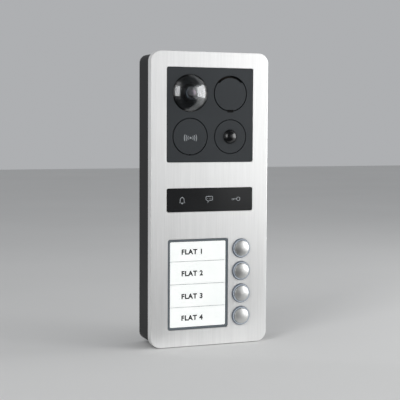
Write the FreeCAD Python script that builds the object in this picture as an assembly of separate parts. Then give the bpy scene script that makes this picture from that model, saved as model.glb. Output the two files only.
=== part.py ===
import FreeCAD, Part
import math
import os

# Surface-mounted door intercom panel with four call buttons, as a FreeCAD script.
#
# Millimetres. The panel hangs on a wall: the wall plane is y = 0, the front looks towards -y, +z is up
# and +x is to the right of somebody who stands in front of it. The origin is the middle of the back.

V = FreeCAD.Vector
OUT = "parts"

# ---------------------------------------------------------------- overall
panel_w = 120.0
panel_h = 282.0
panel_depth = 41.0
panel_corner_r = 10.0

# ---------------------------------------------------------------- clearances
slip = 0.1
window_gap = 0.3
pin_clearance = 0.05
thread_clearance = 0.05
past = 1.0  # how far a cut runs beyond the surface it opens

# ---------------------------------------------------------------- front cover
# A face with a rim that turns back to the housing.
cover_face_t = 3.0
cover_rim_depth = 8.6
cover_rim_t = 4.0
cover_inner_r = 6.0
cover_edge_r = 0.5
window_edge_bevel = 0.25
window_corner_r = 2.0
gasket_t = 0.6
gasket_w = 3.0

# ---------------------------------------------------------------- rear housing
# A tray that is screwed to the wall.
housing_inset = 2.0
housing_wall = 3.0
housing_floor = 3.0
housing_corner_r = 8.0
seal_t = 0.8
rib_t = 1.5
rib_h = 4.0
rib_below_holes = 30.0
rib_below_cable = 40.0

# ---------------------------------------------------------------- camera, from its ball outwards
ball_r = 9.6
ball_back_inset = 2.2
barrel_inset = 3.1
barrel_front = 9.4
barrel_ring_t = 0.9
barrel_ring_step = 0.3
lens_inset = 1.5
lens_bulge = 1.2
lens_t = 2.2
lens_lip = 0.5
lens_well = 5.0
lens_hollow_share = 0.7
lens_hollow_depth_share = 0.8
sensor_hole_r = 3.4
sensor_board_side = 13.0
sensor_board_t = 1.2
sensor_board_corner_r = 1.0
sensor_chip_side = 6.0
sensor_chip_t = 0.9
gimbal_gap = 0.5
gimbal_w = 2.0
gimbal_half_t = 1.4
gimbal_pin_r = 1.2
gimbal_pin_root = 1.0
socket_gap = 0.7
socket_wall = 3.1
socket_mouth_inset = 0.6
socket_mask_t = 0.7
socket_mask_setback = 0.9
socket_mask_dish = 0.2
socket_flange_t = 1.5
socket_collar_h = 2.6
dome_inner_gap = 0.3
dome_wall = 1.5
dome_height = 7.5
dome_gap = 0.2
dome_flange_t = 1.6
camera_pivot_back = 6.0

# ---------------------------------------------------------------- module carrier and its four round inserts
carrier_recess = 0.4
carrier_flange_t = 2.0
carrier_edge_gap = 3.0
carrier_flange_rise = 4.0
carrier_flange_corner_r = 4.0
carrier_edge_r = 0.3
insert_face_t = 3.0
insert_flange_w = 1.7
insert_flange_t = 1.4
insert_seat_gap = 0.4
insert_web = 1.6
insert_edge_r = 0.25
module_side_rim = 4.0
module_end_rim = 4.6
post_r = 3.0
post_from_side = 8.0
post_from_end = 3.6
post_hole_depth = 8.0

# loudspeaker
speaker_seat_w = 2.1
speaker_groove = 1.0
speaker_slot_w = 1.4
speaker_slot_from = 42.0
speaker_slot_to = 140.0
speaker_notch_w = 6.2
speaker_notch_rise = 0.9
speaker_notch_drop = 0.7
speaker_back_cut = 0.5
speaker_rim_inset = 0.6
speaker_rim_w = 2.4
speaker_rim_t = 1.2
speaker_rim_taper = 1.6
speaker_depth = 11.0
speaker_magnet_r = 8.5
speaker_magnet_t = 5.0
speaker_magnet_bevel = 0.5
speaker_neck_r = 5.0
speaker_neck_rim = 0.6
speaker_sheet_t = 1.0
speaker_vents = 6
speaker_vent_r = 1.2
speaker_vent_circle_r = 6.7
cone_set_back = 1.2
cone_paper_t = 0.5
cone_depth = 3.2
cone_cap_r = 4.4
cone_cap_rise = 1.4
cone_surround_w = 2.6
cone_surround_rise = 0.5

# card reader and microphone
reader_seat_w = 1.5
reader_groove = 0.9
reader_port_w = 2.0
reader_port_h = 1.4
reader_port_inset = 0.5
reader_board_t = 1.0
reader_coil_inset = 0.6
reader_coil_w = 3.0
reader_coil_t = 1.2
microphone_r = 2.0
microphone_t = 2.6
microphone_outside = 0.2
boot_wall = 1.0
boot_front_t = 1.2
boot_back_t = 0.8
boot_lip = 0.5
boot_nose_r = 1.8
boot_duct_r = 0.8
boot_board_gap = 0.2

# motion sensor
motion_seat_w = 2.7
motion_groove = 0.8
motion_lens_r = 6.9
motion_lens_height = 4.2
motion_lens_wall = 0.9
motion_lens_flange_w = 1.5
motion_lens_flange_t = 1.0
motion_can_r = 4.6
motion_can_lip = 0.5
motion_can_t = 4.5
motion_can_base_t = 0.6
motion_leg_l = 5.0
motion_leg_r = 0.3
motion_leg_circle_r = 2.5

# ---------------------------------------------------------------- down the front, from the top edge
module_top_margin = 15.0
module_to_strip = 24.6
strip_h = 22.8
strip_to_names = 26.1
name_frame_h = 87.2

# ---------------------------------------------------------------- indicator window and its lights
flange_t = 1.4
flange_w = 2.0
flange_corner_r = 2.2
indicator_recess = 0.5
indicator_edge_r = 0.2
indicator_count = 3
light_wall = 1.2
light_side_gap = 1.8
light_end_gap = 1.5
light_corner_r = 0.6

# ---------------------------------------------------------------- name panel
names_inset = 1.5
names_to_rings = 4.35
name_rim_w = 2.2
name_frame_recess = 0.15
name_rim_bevel = 0.8
name_view_r = 1.2
name_window_recess = 0.7
name_window_step_t = 1.0
name_window_t = 2.4
name_window_edge_r = 0.15
name_rebate = 1.2
label_t = 0.25
label_gap = 0.3
label_side_gap = 0.6
diffuser_t = 2.4
name_light_margin = 1.3

# ---------------------------------------------------------------- call buttons
button_count = 4
button_r = 7.35
button_gap = 0.35
button_proud = 2.6
button_dome = 1.4
button_rim_r = 0.5
button_flange_w = 1.25
button_flange_t = 1.0
button_wall = 1.3
button_travel = 1.2
button_seat_ahead = 0.4
button_hole_gap = 0.5
stem_r = 1.6
stem_bevel = 0.3
stem_gap = 0.3
ring_wall = 1.6
ring_proud = 1.8
ring_taper = 0.55
ring_round = 0.35
ring_flange_w = 0.8
ring_shoulder = 0.3
ring_spacing = 1.9
ring_to_window_edge = 2.35
spring_mean_r = 3.2
spring_wire_r = 0.28
spring_turns = 5
spring_play = 0.03
spring_seat_r = 4.2
spring_seat_depth = 3.2
switch_side = 6.2
switch_h = 3.4
switch_corner_r = 0.5
switch_overtravel = 0.8
switch_foot_w = 0.8
switch_foot_t = 0.3
switch_foot_h = 1.0
switch_foot_z = 2.2

# ---------------------------------------------------------------- inner frame and boards
frame_plate_t = 2.4
frame_corner_r = 4.0
frame_top_gap = 3.0
frame_bottom_gap = 6.0
frame_post_from_side = 6.0
frame_post_below_strip = 22.0
frame_post_above_bottom = 20.0
frame_post_hole_depth = 6.4
board_t = 1.6
board_side_gap = 5.0
board_corner_r = 2.0
board_top_gap = 0.5
board_lug_gap = 0.6
main_board_behind_face = 10.4
module_board_behind_carrier = 13.0
board_lap = 9.0
link_w = 40.6
link_h = 5.0
link_below_middle = 0.3
link_corner_r = 0.3
led_w = 3.5
led_h = 2.8
led_t = 1.0
led_lens_r = 1.1
led_lens_t = 0.3
led_corner_r = 0.2

# ---------------------------------------------------------------- screws, studs, hooks
m25_r = 1.25
m25_head_r = 2.3
m25_head_t = 1.6
m3_r = 1.5
m3_head_r = 2.8
m3_head_t = 1.8
head_round = 0.35
drive_r = 0.45
drive_depth = 0.55
nut_across_flats = 5.5
nut_t = 2.4
stud_l = 8.0
stud_from_side = 3.5
stud_from_frame_end = 8.0
stud_row_share = 0.4
board_screw_l = 7.0
module_screw_l = 8.0
lock_x = 35.0
lock_screw_l = 10.0
lock_behind_front = 7.6
lock_head_sink = 0.2
lug_w = 10.0
lug_h = 9.0
lug_back = 4.0
lug_floor_gap = 0.3
hook_w = 14.0
hook_t = 2.2
hook_catch = 2.2
hook_behind_front = 4.6
hook_top_gap = 0.6
hook_foot_h = 4.4
hook_foot_t = 1.4
hook_play = 0.4
hook_side_play = 1.0
hook_pocket_depth = 2.0

# ---------------------------------------------------------------- wall holes, cable inlet, parts on the board
wall_hole_r = 2.5
wall_hole_x = 42.0
wall_hole_from_end = 23.0
wall_boss_r = 6.0
wall_boss_t = 2.0
cable_z = -52.0
cable_bore_r = 3.6
cable_hole_r = 8.5
cable_flange_r = 10.8
cable_flange_t = 1.2
cable_flange_bevel = 0.8
cable_nose_l = 5.0
cable_nose_r = 5.4
cable_nose_taper = 1.2
terminal_w = 46.0
terminal_h = 10.0
terminal_t = 9.0
terminal_corner_r = 0.5
terminal_poles = 8
terminal_z = -104.0
terminal_well_r = 1.9
terminal_well_depth = 3.0
terminal_well_up = 1.6
terminal_screw_r = 1.6
terminal_screw_t = 1.6
terminal_wire_r = 1.2
terminal_wire_depth = 2.6
terminal_wire_down = 3.0
relay_w = 19.0
relay_h = 15.5
relay_t = 12.0
relay_x = -32.0
relay_z = -14.0
relay_corner_r = 0.6
relay_top_r = 0.5

# ---------------------------------------------------------------- planes, front to back
face_y = -panel_depth
cover_inner_y = face_y + cover_face_t
cover_back_y = face_y + cover_rim_depth
housing_front_y = cover_back_y + seal_t
floor_y = -housing_floor
carrier_y = face_y + carrier_recess
carrier_flange_y = cover_inner_y + gasket_t
carrier_back_y = carrier_flange_y + carrier_flange_t
insert_seat_y = carrier_y + insert_face_t
insert_back_y = insert_seat_y + insert_flange_t
dome_flange_back_y = insert_seat_y + dome_flange_t
mask_front_y = carrier_y + socket_mask_setback
camera_pivot_y = face_y + camera_pivot_back
barrel_front_y = camera_pivot_y - barrel_front
module_board_y = carrier_back_y + module_board_behind_carrier
frame_y = cover_inner_y + gasket_t
frame_back_y = frame_y + frame_plate_t
flange_back_y = cover_inner_y + flange_t
main_board_y = cover_inner_y + main_board_behind_face
main_board_back_y = main_board_y + board_t
name_window_y = face_y + name_window_recess
name_step_y = name_window_y + name_window_step_t
name_window_back_y = name_window_y + name_window_t
label_back_y = name_window_back_y + label_t
diffuser_back_y = label_back_y + diffuser_t
cap_rim_y = face_y - button_proud
cap_seat_y = cover_inner_y - button_seat_ahead
switch_front_y = main_board_y - switch_h
spring_front_y = cap_rim_y + button_wall + spring_seat_depth
lock_y = housing_front_y + lock_behind_front
hook_nose_y = housing_front_y + hook_behind_front

# ---------------------------------------------------------------- sizes that follow from the camera
ball_back = ball_r - ball_back_inset
barrel_r = ball_r - barrel_inset
lens_r = barrel_r - lens_inset
gimbal_inner_r = ball_r + gimbal_gap
gimbal_outer_r = gimbal_inner_r + gimbal_w
socket_inner_r = gimbal_outer_r + socket_gap
socket_outer_r = socket_inner_r + socket_wall
socket_mouth_r = ball_r - socket_mouth_inset
gimbal_pin_end = (socket_inner_r + socket_outer_r) / 2
dome_r = socket_outer_r + dome_inner_gap + dome_wall
insert_flange_r = dome_r + insert_flange_w
insert_seat_r = insert_flange_r + insert_seat_gap
insert_pitch = 2 * insert_seat_r + insert_web
windows_w = insert_pitch + 2 * (insert_seat_r + module_side_rim)
module_h = insert_pitch + 2 * (insert_seat_r + module_end_rim)
speaker_hole_r = insert_flange_r - speaker_seat_w
speaker_disc_r = speaker_hole_r - speaker_groove
speaker_rim_r = insert_flange_r - speaker_rim_inset
speaker_cone_r = speaker_rim_r - speaker_rim_w
reader_hole_r = insert_flange_r - reader_seat_w
reader_disc_r = reader_hole_r - reader_groove
microphone_drop = reader_disc_r + microphone_outside
boot_r = microphone_r + boot_wall
reader_board_r = microphone_drop - boot_r - boot_board_gap
reader_coil_r = reader_board_r - reader_coil_inset
motion_hole_r = insert_flange_r - motion_seat_w
motion_disc_r = motion_hole_r - motion_groove

# ---------------------------------------------------------------- sizes that follow from the buttons
ring_bore_r = button_r + button_gap
ring_base_r = ring_bore_r + ring_wall
ring_top_r = ring_base_r - ring_taper
ring_flange_r = ring_base_r + ring_flange_w
cap_flange_r = button_r + button_flange_w
button_pitch = 2 * ring_flange_r + ring_spacing
button_x = windows_w / 2 - ring_to_window_edge - ring_base_r
names_left_x = -windows_w / 2 + names_inset
names_right_x = button_x - ring_base_r - names_to_rings
name_frame_w = names_right_x - names_left_x
names_x = (names_left_x + names_right_x) / 2
name_view_w = name_frame_w - 2 * window_gap - 2 * name_rim_w
name_view_h = name_frame_h - 2 * window_gap - 2 * name_rim_w
name_back_w = name_view_w + 2 * name_rebate - slip
name_back_h = name_view_h + 2 * name_rebate - slip

# ---------------------------------------------------------------- places on the front
module_top_z = panel_h / 2 - module_top_margin
module_z = module_top_z - module_h / 2
strip_top_z = module_top_z - module_h - module_to_strip
strip_z = strip_top_z - strip_h / 2
names_z = strip_top_z - strip_h - strip_to_names - name_frame_h / 2
camera_x = -insert_pitch / 2
camera_z = module_z + insert_pitch / 2
speaker_x = insert_pitch / 2
speaker_z = camera_z
reader_x = camera_x
reader_z = module_z - insert_pitch / 2
motion_x = speaker_x
motion_z = reader_z
microphone_z = reader_z - microphone_drop
button_zs = [names_z + ((button_count - 1) / 2 - i) * button_pitch for i in range(button_count)]
light_box_w = windows_w - 2 * light_side_gap
light_box_h = strip_h - 2 * light_end_gap
indicator_pitch = (light_box_w - light_wall) / indicator_count
indicator_xs = [(i - (indicator_count - 1) / 2) * indicator_pitch for i in range(indicator_count)]

# ---------------------------------------------------------------- widths, heights and places inside
housing_w = panel_w - 2 * housing_inset
housing_h = panel_h - 2 * housing_inset
inside_w = housing_w - 2 * housing_wall
inside_h = housing_h - 2 * housing_wall
carrier_flange_w = panel_w - 2 * cover_rim_t - 2 * carrier_edge_gap
carrier_flange_h = module_h + 2 * carrier_flange_rise
frame_w = carrier_flange_w
frame_top_z = module_z - carrier_flange_h / 2 - frame_top_gap
frame_bottom_z = -panel_h / 2 + cover_rim_t + frame_bottom_gap
frame_h = frame_top_z - frame_bottom_z
frame_z = (frame_top_z + frame_bottom_z) / 2
board_w = inside_w - 2 * board_side_gap
stud_x = carrier_flange_w / 2 - stud_from_side
lug_bottom_z = -inside_h / 2 + lug_floor_gap
main_board_top_z = frame_top_z - board_top_gap
main_board_bottom_z = lug_bottom_z + lug_h + board_lug_gap
wall_hole_z = housing_h / 2 - wall_hole_from_end


# ---------------------------------------------------------------- building blocks
def slab(w, h, y0, y1, r=0.0, cx=0.0, cz=0.0):
    """A plate w by h in x and z from y0 to y1, with its four corners rounded to r."""
    box = Part.makeBox(w, y1 - y0, h, V(cx - w / 2, y0, cz - h / 2))
    if r <= 0:
        return box
    corners = [e for e in box.Edges if abs(e.tangentAt(e.FirstParameter).y) > 0.99]
    return box.makeFillet(r, corners)


def block(x0, x1, y0, y1, z0, z1):
    return Part.makeBox(x1 - x0, y1 - y0, z1 - z0, V(x0, y0, z0))


def rod(r, y0, y1, cx, cz):
    return Part.makeCylinder(r, y1 - y0, V(cx, y0, cz), V(0, 1, 0))


def tube(outer_r, inner_r, y0, y1, cx, cz):
    return rod(outer_r, y0, y1, cx, cz).cut(rod(inner_r, y0 - past, y1 + past, cx, cz))


def turned(cx, cz, start, *steps):
    """A solid of revolution about the y direction through (cx, cz). start and each step are (radius, y);
    a step of two such pairs is an arc through the first one to the second."""
    edges = []
    here = start
    for step in list(steps) + [start]:
        bend = isinstance(step[0], tuple)
        end = step[1] if bend else step
        a = V(cx + here[0], here[1], cz)
        b = V(cx + end[0], end[1], cz)
        if bend:
            middle = V(cx + step[0][0], step[0][1], cz)
            edges.append(Part.Arc(a, middle, b).toShape())
        elif (a - b).Length > 1e-6:
            edges.append(Part.makeLine(a, b))
        here = end
    return Part.Face(Part.Wire(edges)).revolve(V(cx, 0, cz), V(0, 1, 0), 360)


def edges_at(shape, y, half_w=None, half_h=None, cx=0.0, cz=0.0):
    """The edges that lie in the plane y, or only those inside a rectangle round (cx, cz)."""
    found = []
    for e in shape.Edges:
        box = e.BoundBox
        if abs(box.YMin - y) > 1e-4 or abs(box.YMax - y) > 1e-4:
            continue
        reach_x = max(abs(box.XMin - cx), abs(box.XMax - cx))
        reach_z = max(abs(box.ZMin - cz), abs(box.ZMax - cz))
        if half_w is None or (reach_x < half_w and reach_z < half_h):
            found.append(e)
    return found


def softened(shape, y, r):
    return shape.makeFillet(r, edges_at(shape, y))


def sector(r, y0, y1, cx, cz, from_deg, to_deg):
    """A wedge of a cylinder between two angles, counted anticlockwise from +x as the viewer sees it."""
    rim = []
    for degrees in (from_deg, (from_deg + to_deg) / 2, to_deg):
        a = math.radians(degrees)
        rim.append(V(cx + r * math.cos(a), y0, cz + r * math.sin(a)))
    hub = V(cx, y0, cz)
    arc = Part.Arc(*rim).toShape()
    wire = Part.Wire([Part.makeLine(hub, rim[0]), arc, Part.makeLine(rim[2], hub)])
    return Part.Face(wire).extrude(V(0, y1 - y0, 0))


def cap_drop(r, sphere_r):
    """How far a sphere's surface stands behind its front point at radius r."""
    return sphere_r - math.sqrt(sphere_r ** 2 - r ** 2)


def sphere_through(r, height):
    """The radius of the sphere whose cap has this base radius and height."""
    return (r ** 2 + height ** 2) / (2 * height)


def joined(shapes):
    shape = shapes[0]
    for other in shapes[1:]:
        shape = shape.fuse(other)
    return shape.removeSplitter()


def screw(r, head_r, head_t, length, at, direction):
    """A pan-head screw whose head seats at the point `at` and whose shank runs along `direction`."""
    d = V(*direction)
    seat = V(*at)
    top = seat - d * head_t
    head = Part.makeCylinder(head_r, head_t, top, d)
    outer = [e for e in head.Edges if e.Closed and (e.CenterOfMass - top).Length < head_t / 2]
    head = head.makeFillet(head_t * head_round, outer)
    shank = Part.makeCylinder(r, length, seat, d)
    drive = Part.makeCylinder(head_r * drive_r, head_t * drive_depth, top, d)
    return head.fuse(shank).cut(drive)


def nut(cx, cz, y0):
    corner_r = nut_across_flats / math.sqrt(3)
    angles = [math.radians(60 * i) for i in range(7)]
    ring = [V(cx + corner_r * math.cos(a), y0, cz + corner_r * math.sin(a)) for a in angles]
    prism = Part.Face(Part.makePolygon(ring)).extrude(V(0, nut_t, 0))
    return prism.cut(rod(m3_r + thread_clearance, y0 - past, y0 + nut_t + past, cx, cz))


def save(name, shape):
    solids = shape.Solids
    group = solids[0] if len(solids) == 1 else Part.makeCompound(solids)
    group.exportStep(os.path.join(OUT, name + ".step"))
    print(name, len(solids), round(sum(s.Volume for s in solids), 1), all(s.isValid() for s in solids))


# ---------------------------------------------------------------- places that several pieces share
def both_sides(x, zs):
    return [(side * x, z) for z in zs for side in (-1, 1)]


def module_studs():
    return both_sides(stud_x, [module_z + side * module_h * stud_row_share for side in (1, -1)])


def frame_studs():
    ends = [frame_top_z - stud_from_frame_end, frame_z, frame_bottom_z + stud_from_frame_end]
    return both_sides(stud_x, ends)


def carrier_posts():
    reach = carrier_flange_h / 2 - post_from_end
    return both_sides(carrier_flange_w / 2 - post_from_side, [module_z + reach, module_z - reach])


def frame_posts():
    zs = [strip_z - frame_post_below_strip, frame_bottom_z + frame_post_above_bottom]
    return both_sides(frame_w / 2 - frame_post_from_side, zs)


def wall_holes():
    return both_sides(wall_hole_x, [wall_hole_z, -wall_hole_z])


# ---------------------------------------------------------------- housing
def rear_housing():
    """A moulded tray with bosses for the wall screws, two stiffening ribs, the cable hole, pockets for
    the cover's hooks in its top wall and sunk holes for the lock screws in its bottom wall."""
    outer = slab(housing_w, housing_h, housing_front_y, 0, housing_corner_r)
    hollow_r = housing_corner_r - housing_wall
    body = outer.cut(slab(inside_w, inside_h, housing_front_y - past, floor_y, hollow_r))
    body = joined([body] + [rod(wall_boss_r, floor_y - wall_boss_t, floor_y, x, z) for x, z in wall_holes()])
    for z in (wall_hole_z - rib_below_holes, cable_z - rib_below_cable):
        half = inside_w / 2
        body = body.fuse(block(-half, half, floor_y - rib_h, floor_y, z - rib_t / 2, z + rib_t / 2))
    for x, z in wall_holes():
        body = body.cut(rod(wall_hole_r, floor_y - wall_boss_t - past, past, x, z))
    body = body.cut(rod(cable_hole_r, floor_y - past, past, 0, cable_z))
    body = body.cut(rod(cable_flange_r + slip, -cable_flange_t, past, 0, cable_z))
    top = inside_h / 2
    pocket_half = hook_w / 2 + hook_side_play
    head_top_z = -housing_h / 2 + m3_head_t + lock_head_sink
    up = V(0, 0, 1)
    for side in (-1, 1):
        x = side * lock_x
        y0 = hook_nose_y - hook_t - hook_play
        y1 = hook_nose_y + hook_play
        body = body.cut(block(x - pocket_half, x + pocket_half, y0, y1, top - past, top + hook_pocket_depth))
        foot = V(x, lock_y, -housing_h / 2 - past)
        body = body.cut(Part.makeCylinder(m3_r + slip, housing_wall + 2 * past, foot, up))
        sink_depth = head_top_z + housing_h / 2 + past
        body = body.cut(Part.makeCylinder(m3_head_r + slip, sink_depth, foot, up))
    return body.removeSplitter()


def cover_seal():
    """A flat rubber frame between the cover's rim and the housing's front edge."""
    outer = slab(housing_w, housing_h, cover_back_y, housing_front_y, housing_corner_r)
    hollow_r = housing_corner_r - housing_wall
    return outer.cut(slab(inside_w, inside_h, cover_back_y - past, housing_front_y + past, hollow_r))


def cable_grommet():
    """A rubber ring in the housing's cable hole, held by a flange on each side of the floor."""
    back_y = floor_y - cable_flange_t
    nose_y = back_y - cable_nose_l
    return turned(
        0,
        cable_z,
        (cable_bore_r, 0),
        (cable_flange_r, 0),
        (cable_flange_r, -cable_flange_t),
        (cable_hole_r, -cable_flange_t),
        (cable_hole_r, floor_y),
        (cable_flange_r, floor_y),
        (cable_flange_r - cable_flange_bevel, back_y),
        (cable_nose_r + cable_nose_taper, back_y),
        (cable_nose_r, nose_y),
        (cable_bore_r, nose_y),
    )


# ---------------------------------------------------------------- front cover
def front_cover():
    """The aluminium cover, with its three windows, its button holes and the studs welded behind it."""
    outer = softened(slab(panel_w, panel_h, face_y, cover_back_y, panel_corner_r), face_y, cover_edge_r)
    hollow_w = panel_w - 2 * cover_rim_t
    hollow_h = panel_h - 2 * cover_rim_t
    body = outer.cut(slab(hollow_w, hollow_h, cover_inner_y, cover_back_y + past, cover_inner_r))
    y0 = face_y - past
    y1 = cover_inner_y + past
    body = body.cut(slab(windows_w, module_h, y0, y1, window_corner_r, 0, module_z))
    body = body.cut(slab(windows_w, strip_h, y0, y1, window_corner_r, 0, strip_z))
    body = body.cut(slab(name_frame_w, name_frame_h, y0, y1, window_corner_r, names_x, names_z))
    for z in button_zs:
        body = body.cut(rod(ring_base_r + slip, y0, y1, button_x, z))
    cut_outs = edges_at(body, face_y, panel_w / 2 - cover_rim_t, panel_h / 2 - cover_rim_t)
    body = body.makeChamfer(window_edge_bevel, cut_outs)
    places = module_studs() + frame_studs()
    studs = [rod(m3_r, cover_inner_y, cover_inner_y + stud_l, x, z) for x, z in places]
    return joined([body] + studs)


def cover_hooks():
    """Two angle hooks spot-welded inside the cover's top. Their noses catch in the housing's top wall."""
    top = inside_h / 2 - hook_top_gap
    hooks = []
    for side in (-1, 1):
        x0 = side * lock_x - hook_w / 2
        x1 = x0 + hook_w
        foot = block(x0, x1, cover_inner_y, cover_inner_y + hook_foot_t, top - hook_foot_h, top)
        arm = block(x0, x1, cover_inner_y, hook_nose_y, top - hook_t, top)
        nose = block(x0, x1, hook_nose_y - hook_t, hook_nose_y, top - hook_t, top + hook_catch)
        hooks.append(joined([foot, arm, nose]))
    return Part.makeCompound(hooks)


def cover_nuts():
    upper = [nut(x, z, carrier_back_y) for x, z in module_studs()]
    lower = [nut(x, z, frame_back_y) for x, z in frame_studs()]
    return Part.makeCompound(upper + lower)


def lock_screws():
    """Two screws, up through the housing's bottom wall into the inner frame's lugs."""
    seat_z = -housing_h / 2 + m3_head_t + lock_head_sink
    seats = [(side * lock_x, lock_y, seat_z) for side in (-1, 1)]
    return Part.makeCompound([screw(m3_r, m3_head_r, m3_head_t, lock_screw_l, at, (0, 0, 1)) for at in seats])


# ---------------------------------------------------------------- module carrier and its seals
def module_carrier():
    """The square module face with four stepped holes, its clamping flange and the posts for its board."""
    plug_w = windows_w - 2 * window_gap
    plug_h = module_h - 2 * window_gap
    plug = slab(plug_w, plug_h, carrier_y, carrier_back_y, window_corner_r - window_gap, 0, module_z)
    plug = softened(plug, carrier_y, carrier_edge_r)
    flange = slab(carrier_flange_w, carrier_flange_h, carrier_flange_y, carrier_back_y,
                  carrier_flange_corner_r, 0, module_z)
    posts = [rod(post_r, carrier_back_y, module_board_y, x, z) for x, z in carrier_posts()]
    body = joined([plug, flange] + posts)
    inserts = (
        (camera_x, camera_z, dome_r + dome_gap),
        (speaker_x, speaker_z, speaker_hole_r),
        (reader_x, reader_z, reader_hole_r),
        (motion_x, motion_z, motion_hole_r),
    )
    for x, z, r in inserts:
        body = body.cut(rod(r, carrier_y - past, carrier_back_y + past, x, z))
        body = body.cut(rod(insert_seat_r, insert_seat_y, carrier_back_y + past, x, z))
    body = body.cut(speaker_notch())
    for x, z in module_studs():
        body = body.cut(rod(m3_r + slip, carrier_flange_y - past, carrier_back_y + past, x, z))
    for x, z in carrier_posts():
        hole_y = module_board_y - post_hole_depth
        body = body.cut(rod(m25_r + thread_clearance, hole_y, module_board_y + past, x, z))
    return body.removeSplitter()


def module_gasket():
    y0 = cover_inner_y
    y1 = carrier_flange_y
    grown = 2 * gasket_w
    outer = slab(windows_w + grown, module_h + grown, y0, y1, window_corner_r + gasket_w, 0, module_z)
    return outer.cut(slab(windows_w, module_h, y0 - past, y1 + past, window_corner_r, 0, module_z))


def insert_disc(x, z, r):
    """A round cover in one of the module's holes, with a wider flange that seats behind the carrier."""
    face = softened(rod(r, carrier_y, insert_seat_y, x, z), carrier_y, insert_edge_r)
    return face.fuse(rod(insert_flange_r, insert_seat_y, insert_back_y, x, z))


# ---------------------------------------------------------------- loudspeaker insert
def speaker_notch():
    """The drain notch under the loudspeaker's disc, cut in the disc and in the carrier alike."""
    half = speaker_notch_w / 2
    z0 = speaker_z - speaker_hole_r - speaker_notch_drop
    z1 = speaker_z - speaker_disc_r + speaker_notch_rise
    y1 = insert_seat_y + speaker_back_cut
    return block(speaker_x - half, speaker_x + half, carrier_y - past, y1, z0, z1)


def speaker_disc():
    """The sound comes out of a curved slot along the top; the notch below lets water out."""
    y0 = carrier_y - past
    y1 = insert_back_y + past
    band = sector(speaker_hole_r, y0, y1, speaker_x, speaker_z, speaker_slot_from, speaker_slot_to)
    band = band.cut(rod(speaker_disc_r - speaker_slot_w, y0 - past, y1 + past, speaker_x, speaker_z))
    body = insert_disc(speaker_x, speaker_z, speaker_disc_r)
    return body.cut(band).cut(speaker_notch()).removeSplitter()


def speaker_basket():
    """The pressed steel frame that holds the cone's edge in front and the magnet behind."""
    y0 = insert_back_y
    neck_y = y0 + speaker_depth - speaker_magnet_t
    body = turned(
        speaker_x,
        speaker_z,
        (speaker_cone_r, y0),
        (speaker_rim_r, y0),
        (speaker_rim_r, y0 + speaker_rim_t),
        (speaker_rim_r - speaker_rim_taper, y0 + speaker_rim_t),
        (speaker_magnet_r + speaker_neck_rim, neck_y),
        (speaker_neck_r, neck_y),
        (speaker_neck_r, neck_y - speaker_sheet_t),
        (speaker_magnet_r, neck_y - speaker_sheet_t),
        (speaker_cone_r, y0 + speaker_rim_t),
    )
    for i in range(speaker_vents):
        a = math.radians(360 / speaker_vents * i)
        x = speaker_x + speaker_vent_circle_r * math.cos(a)
        z = speaker_z + speaker_vent_circle_r * math.sin(a)
        body = body.cut(rod(speaker_vent_r, neck_y - speaker_sheet_t - past, neck_y + past, x, z))
    return body


def speaker_cone():
    """A paper cone with a half-round surround and a dust cap in the middle."""
    edge_y = insert_back_y + cone_set_back
    back_y = edge_y - cone_paper_t
    waist_r = speaker_cone_r - cone_surround_w
    roll_r = speaker_cone_r - cone_surround_w / 2
    deep_y = back_y + cone_depth
    cap_y = deep_y - cone_cap_rise
    cap_mid_y = cap_y + cap_drop(cone_cap_r / 2, sphere_through(cone_cap_r, cone_cap_rise))
    return turned(
        speaker_x,
        speaker_z,
        (0, cap_y),
        ((cone_cap_r / 2, cap_mid_y), (cone_cap_r, deep_y)),
        (waist_r, back_y),
        ((roll_r, back_y - cone_surround_rise), (speaker_cone_r, back_y)),
        (speaker_cone_r, edge_y),
        ((roll_r, edge_y - cone_surround_rise), (waist_r, edge_y)),
        (cone_cap_r, deep_y + cone_paper_t),
        ((cone_cap_r / 2, cap_mid_y + cone_paper_t), (0, cap_y + cone_paper_t)),
    )


def speaker_magnet():
    y1 = insert_back_y + speaker_depth
    return turned(
        speaker_x,
        speaker_z,
        (0, y1 - speaker_magnet_t),
        (speaker_magnet_r, y1 - speaker_magnet_t),
        (speaker_magnet_r, y1 - speaker_magnet_bevel),
        (speaker_magnet_r - speaker_magnet_bevel, y1),
        (0, y1),
    )


# ---------------------------------------------------------------- card reader insert and microphone
def reader_disc():
    """A plain disc over the card reader; the small port under it leads to the microphone."""
    half = reader_port_w / 2
    z1 = reader_z - reader_disc_r + reader_port_inset
    z0 = z1 - reader_port_h
    port = block(reader_x - half, reader_x + half, carrier_y - past, insert_back_y + past, z0, z1)
    return insert_disc(reader_x, reader_z, reader_disc_r).cut(port)


def reader_board():
    return rod(reader_board_r, insert_back_y, insert_back_y + reader_board_t, reader_x, reader_z)


def reader_coil():
    y0 = insert_back_y + reader_board_t
    inner_r = reader_coil_r - reader_coil_w
    return tube(reader_coil_r, inner_r, y0, y0 + reader_coil_t, reader_x, reader_z)


def microphone():
    y0 = carrier_back_y + boot_front_t
    return rod(microphone_r, y0, y0 + microphone_t, reader_x, microphone_z)


def microphone_boot():
    """A rubber sleeve round the microphone, with a nose that seals it to the port in the disc."""
    y0 = carrier_back_y + boot_front_t
    y1 = y0 + microphone_t
    back_y = y1 + boot_back_t
    body = rod(boot_r, carrier_back_y, back_y, reader_x, microphone_z)
    body = body.fuse(rod(boot_nose_r, insert_back_y, carrier_back_y, reader_x, microphone_z))
    body = body.cut(rod(microphone_r, y0, y1, reader_x, microphone_z))
    body = body.cut(rod(boot_duct_r, insert_back_y - past, y0 + past, reader_x, microphone_z))
    body = body.cut(rod(microphone_r - boot_lip, y0 + past, back_y + past, reader_x, microphone_z))
    return body.removeSplitter()


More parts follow.
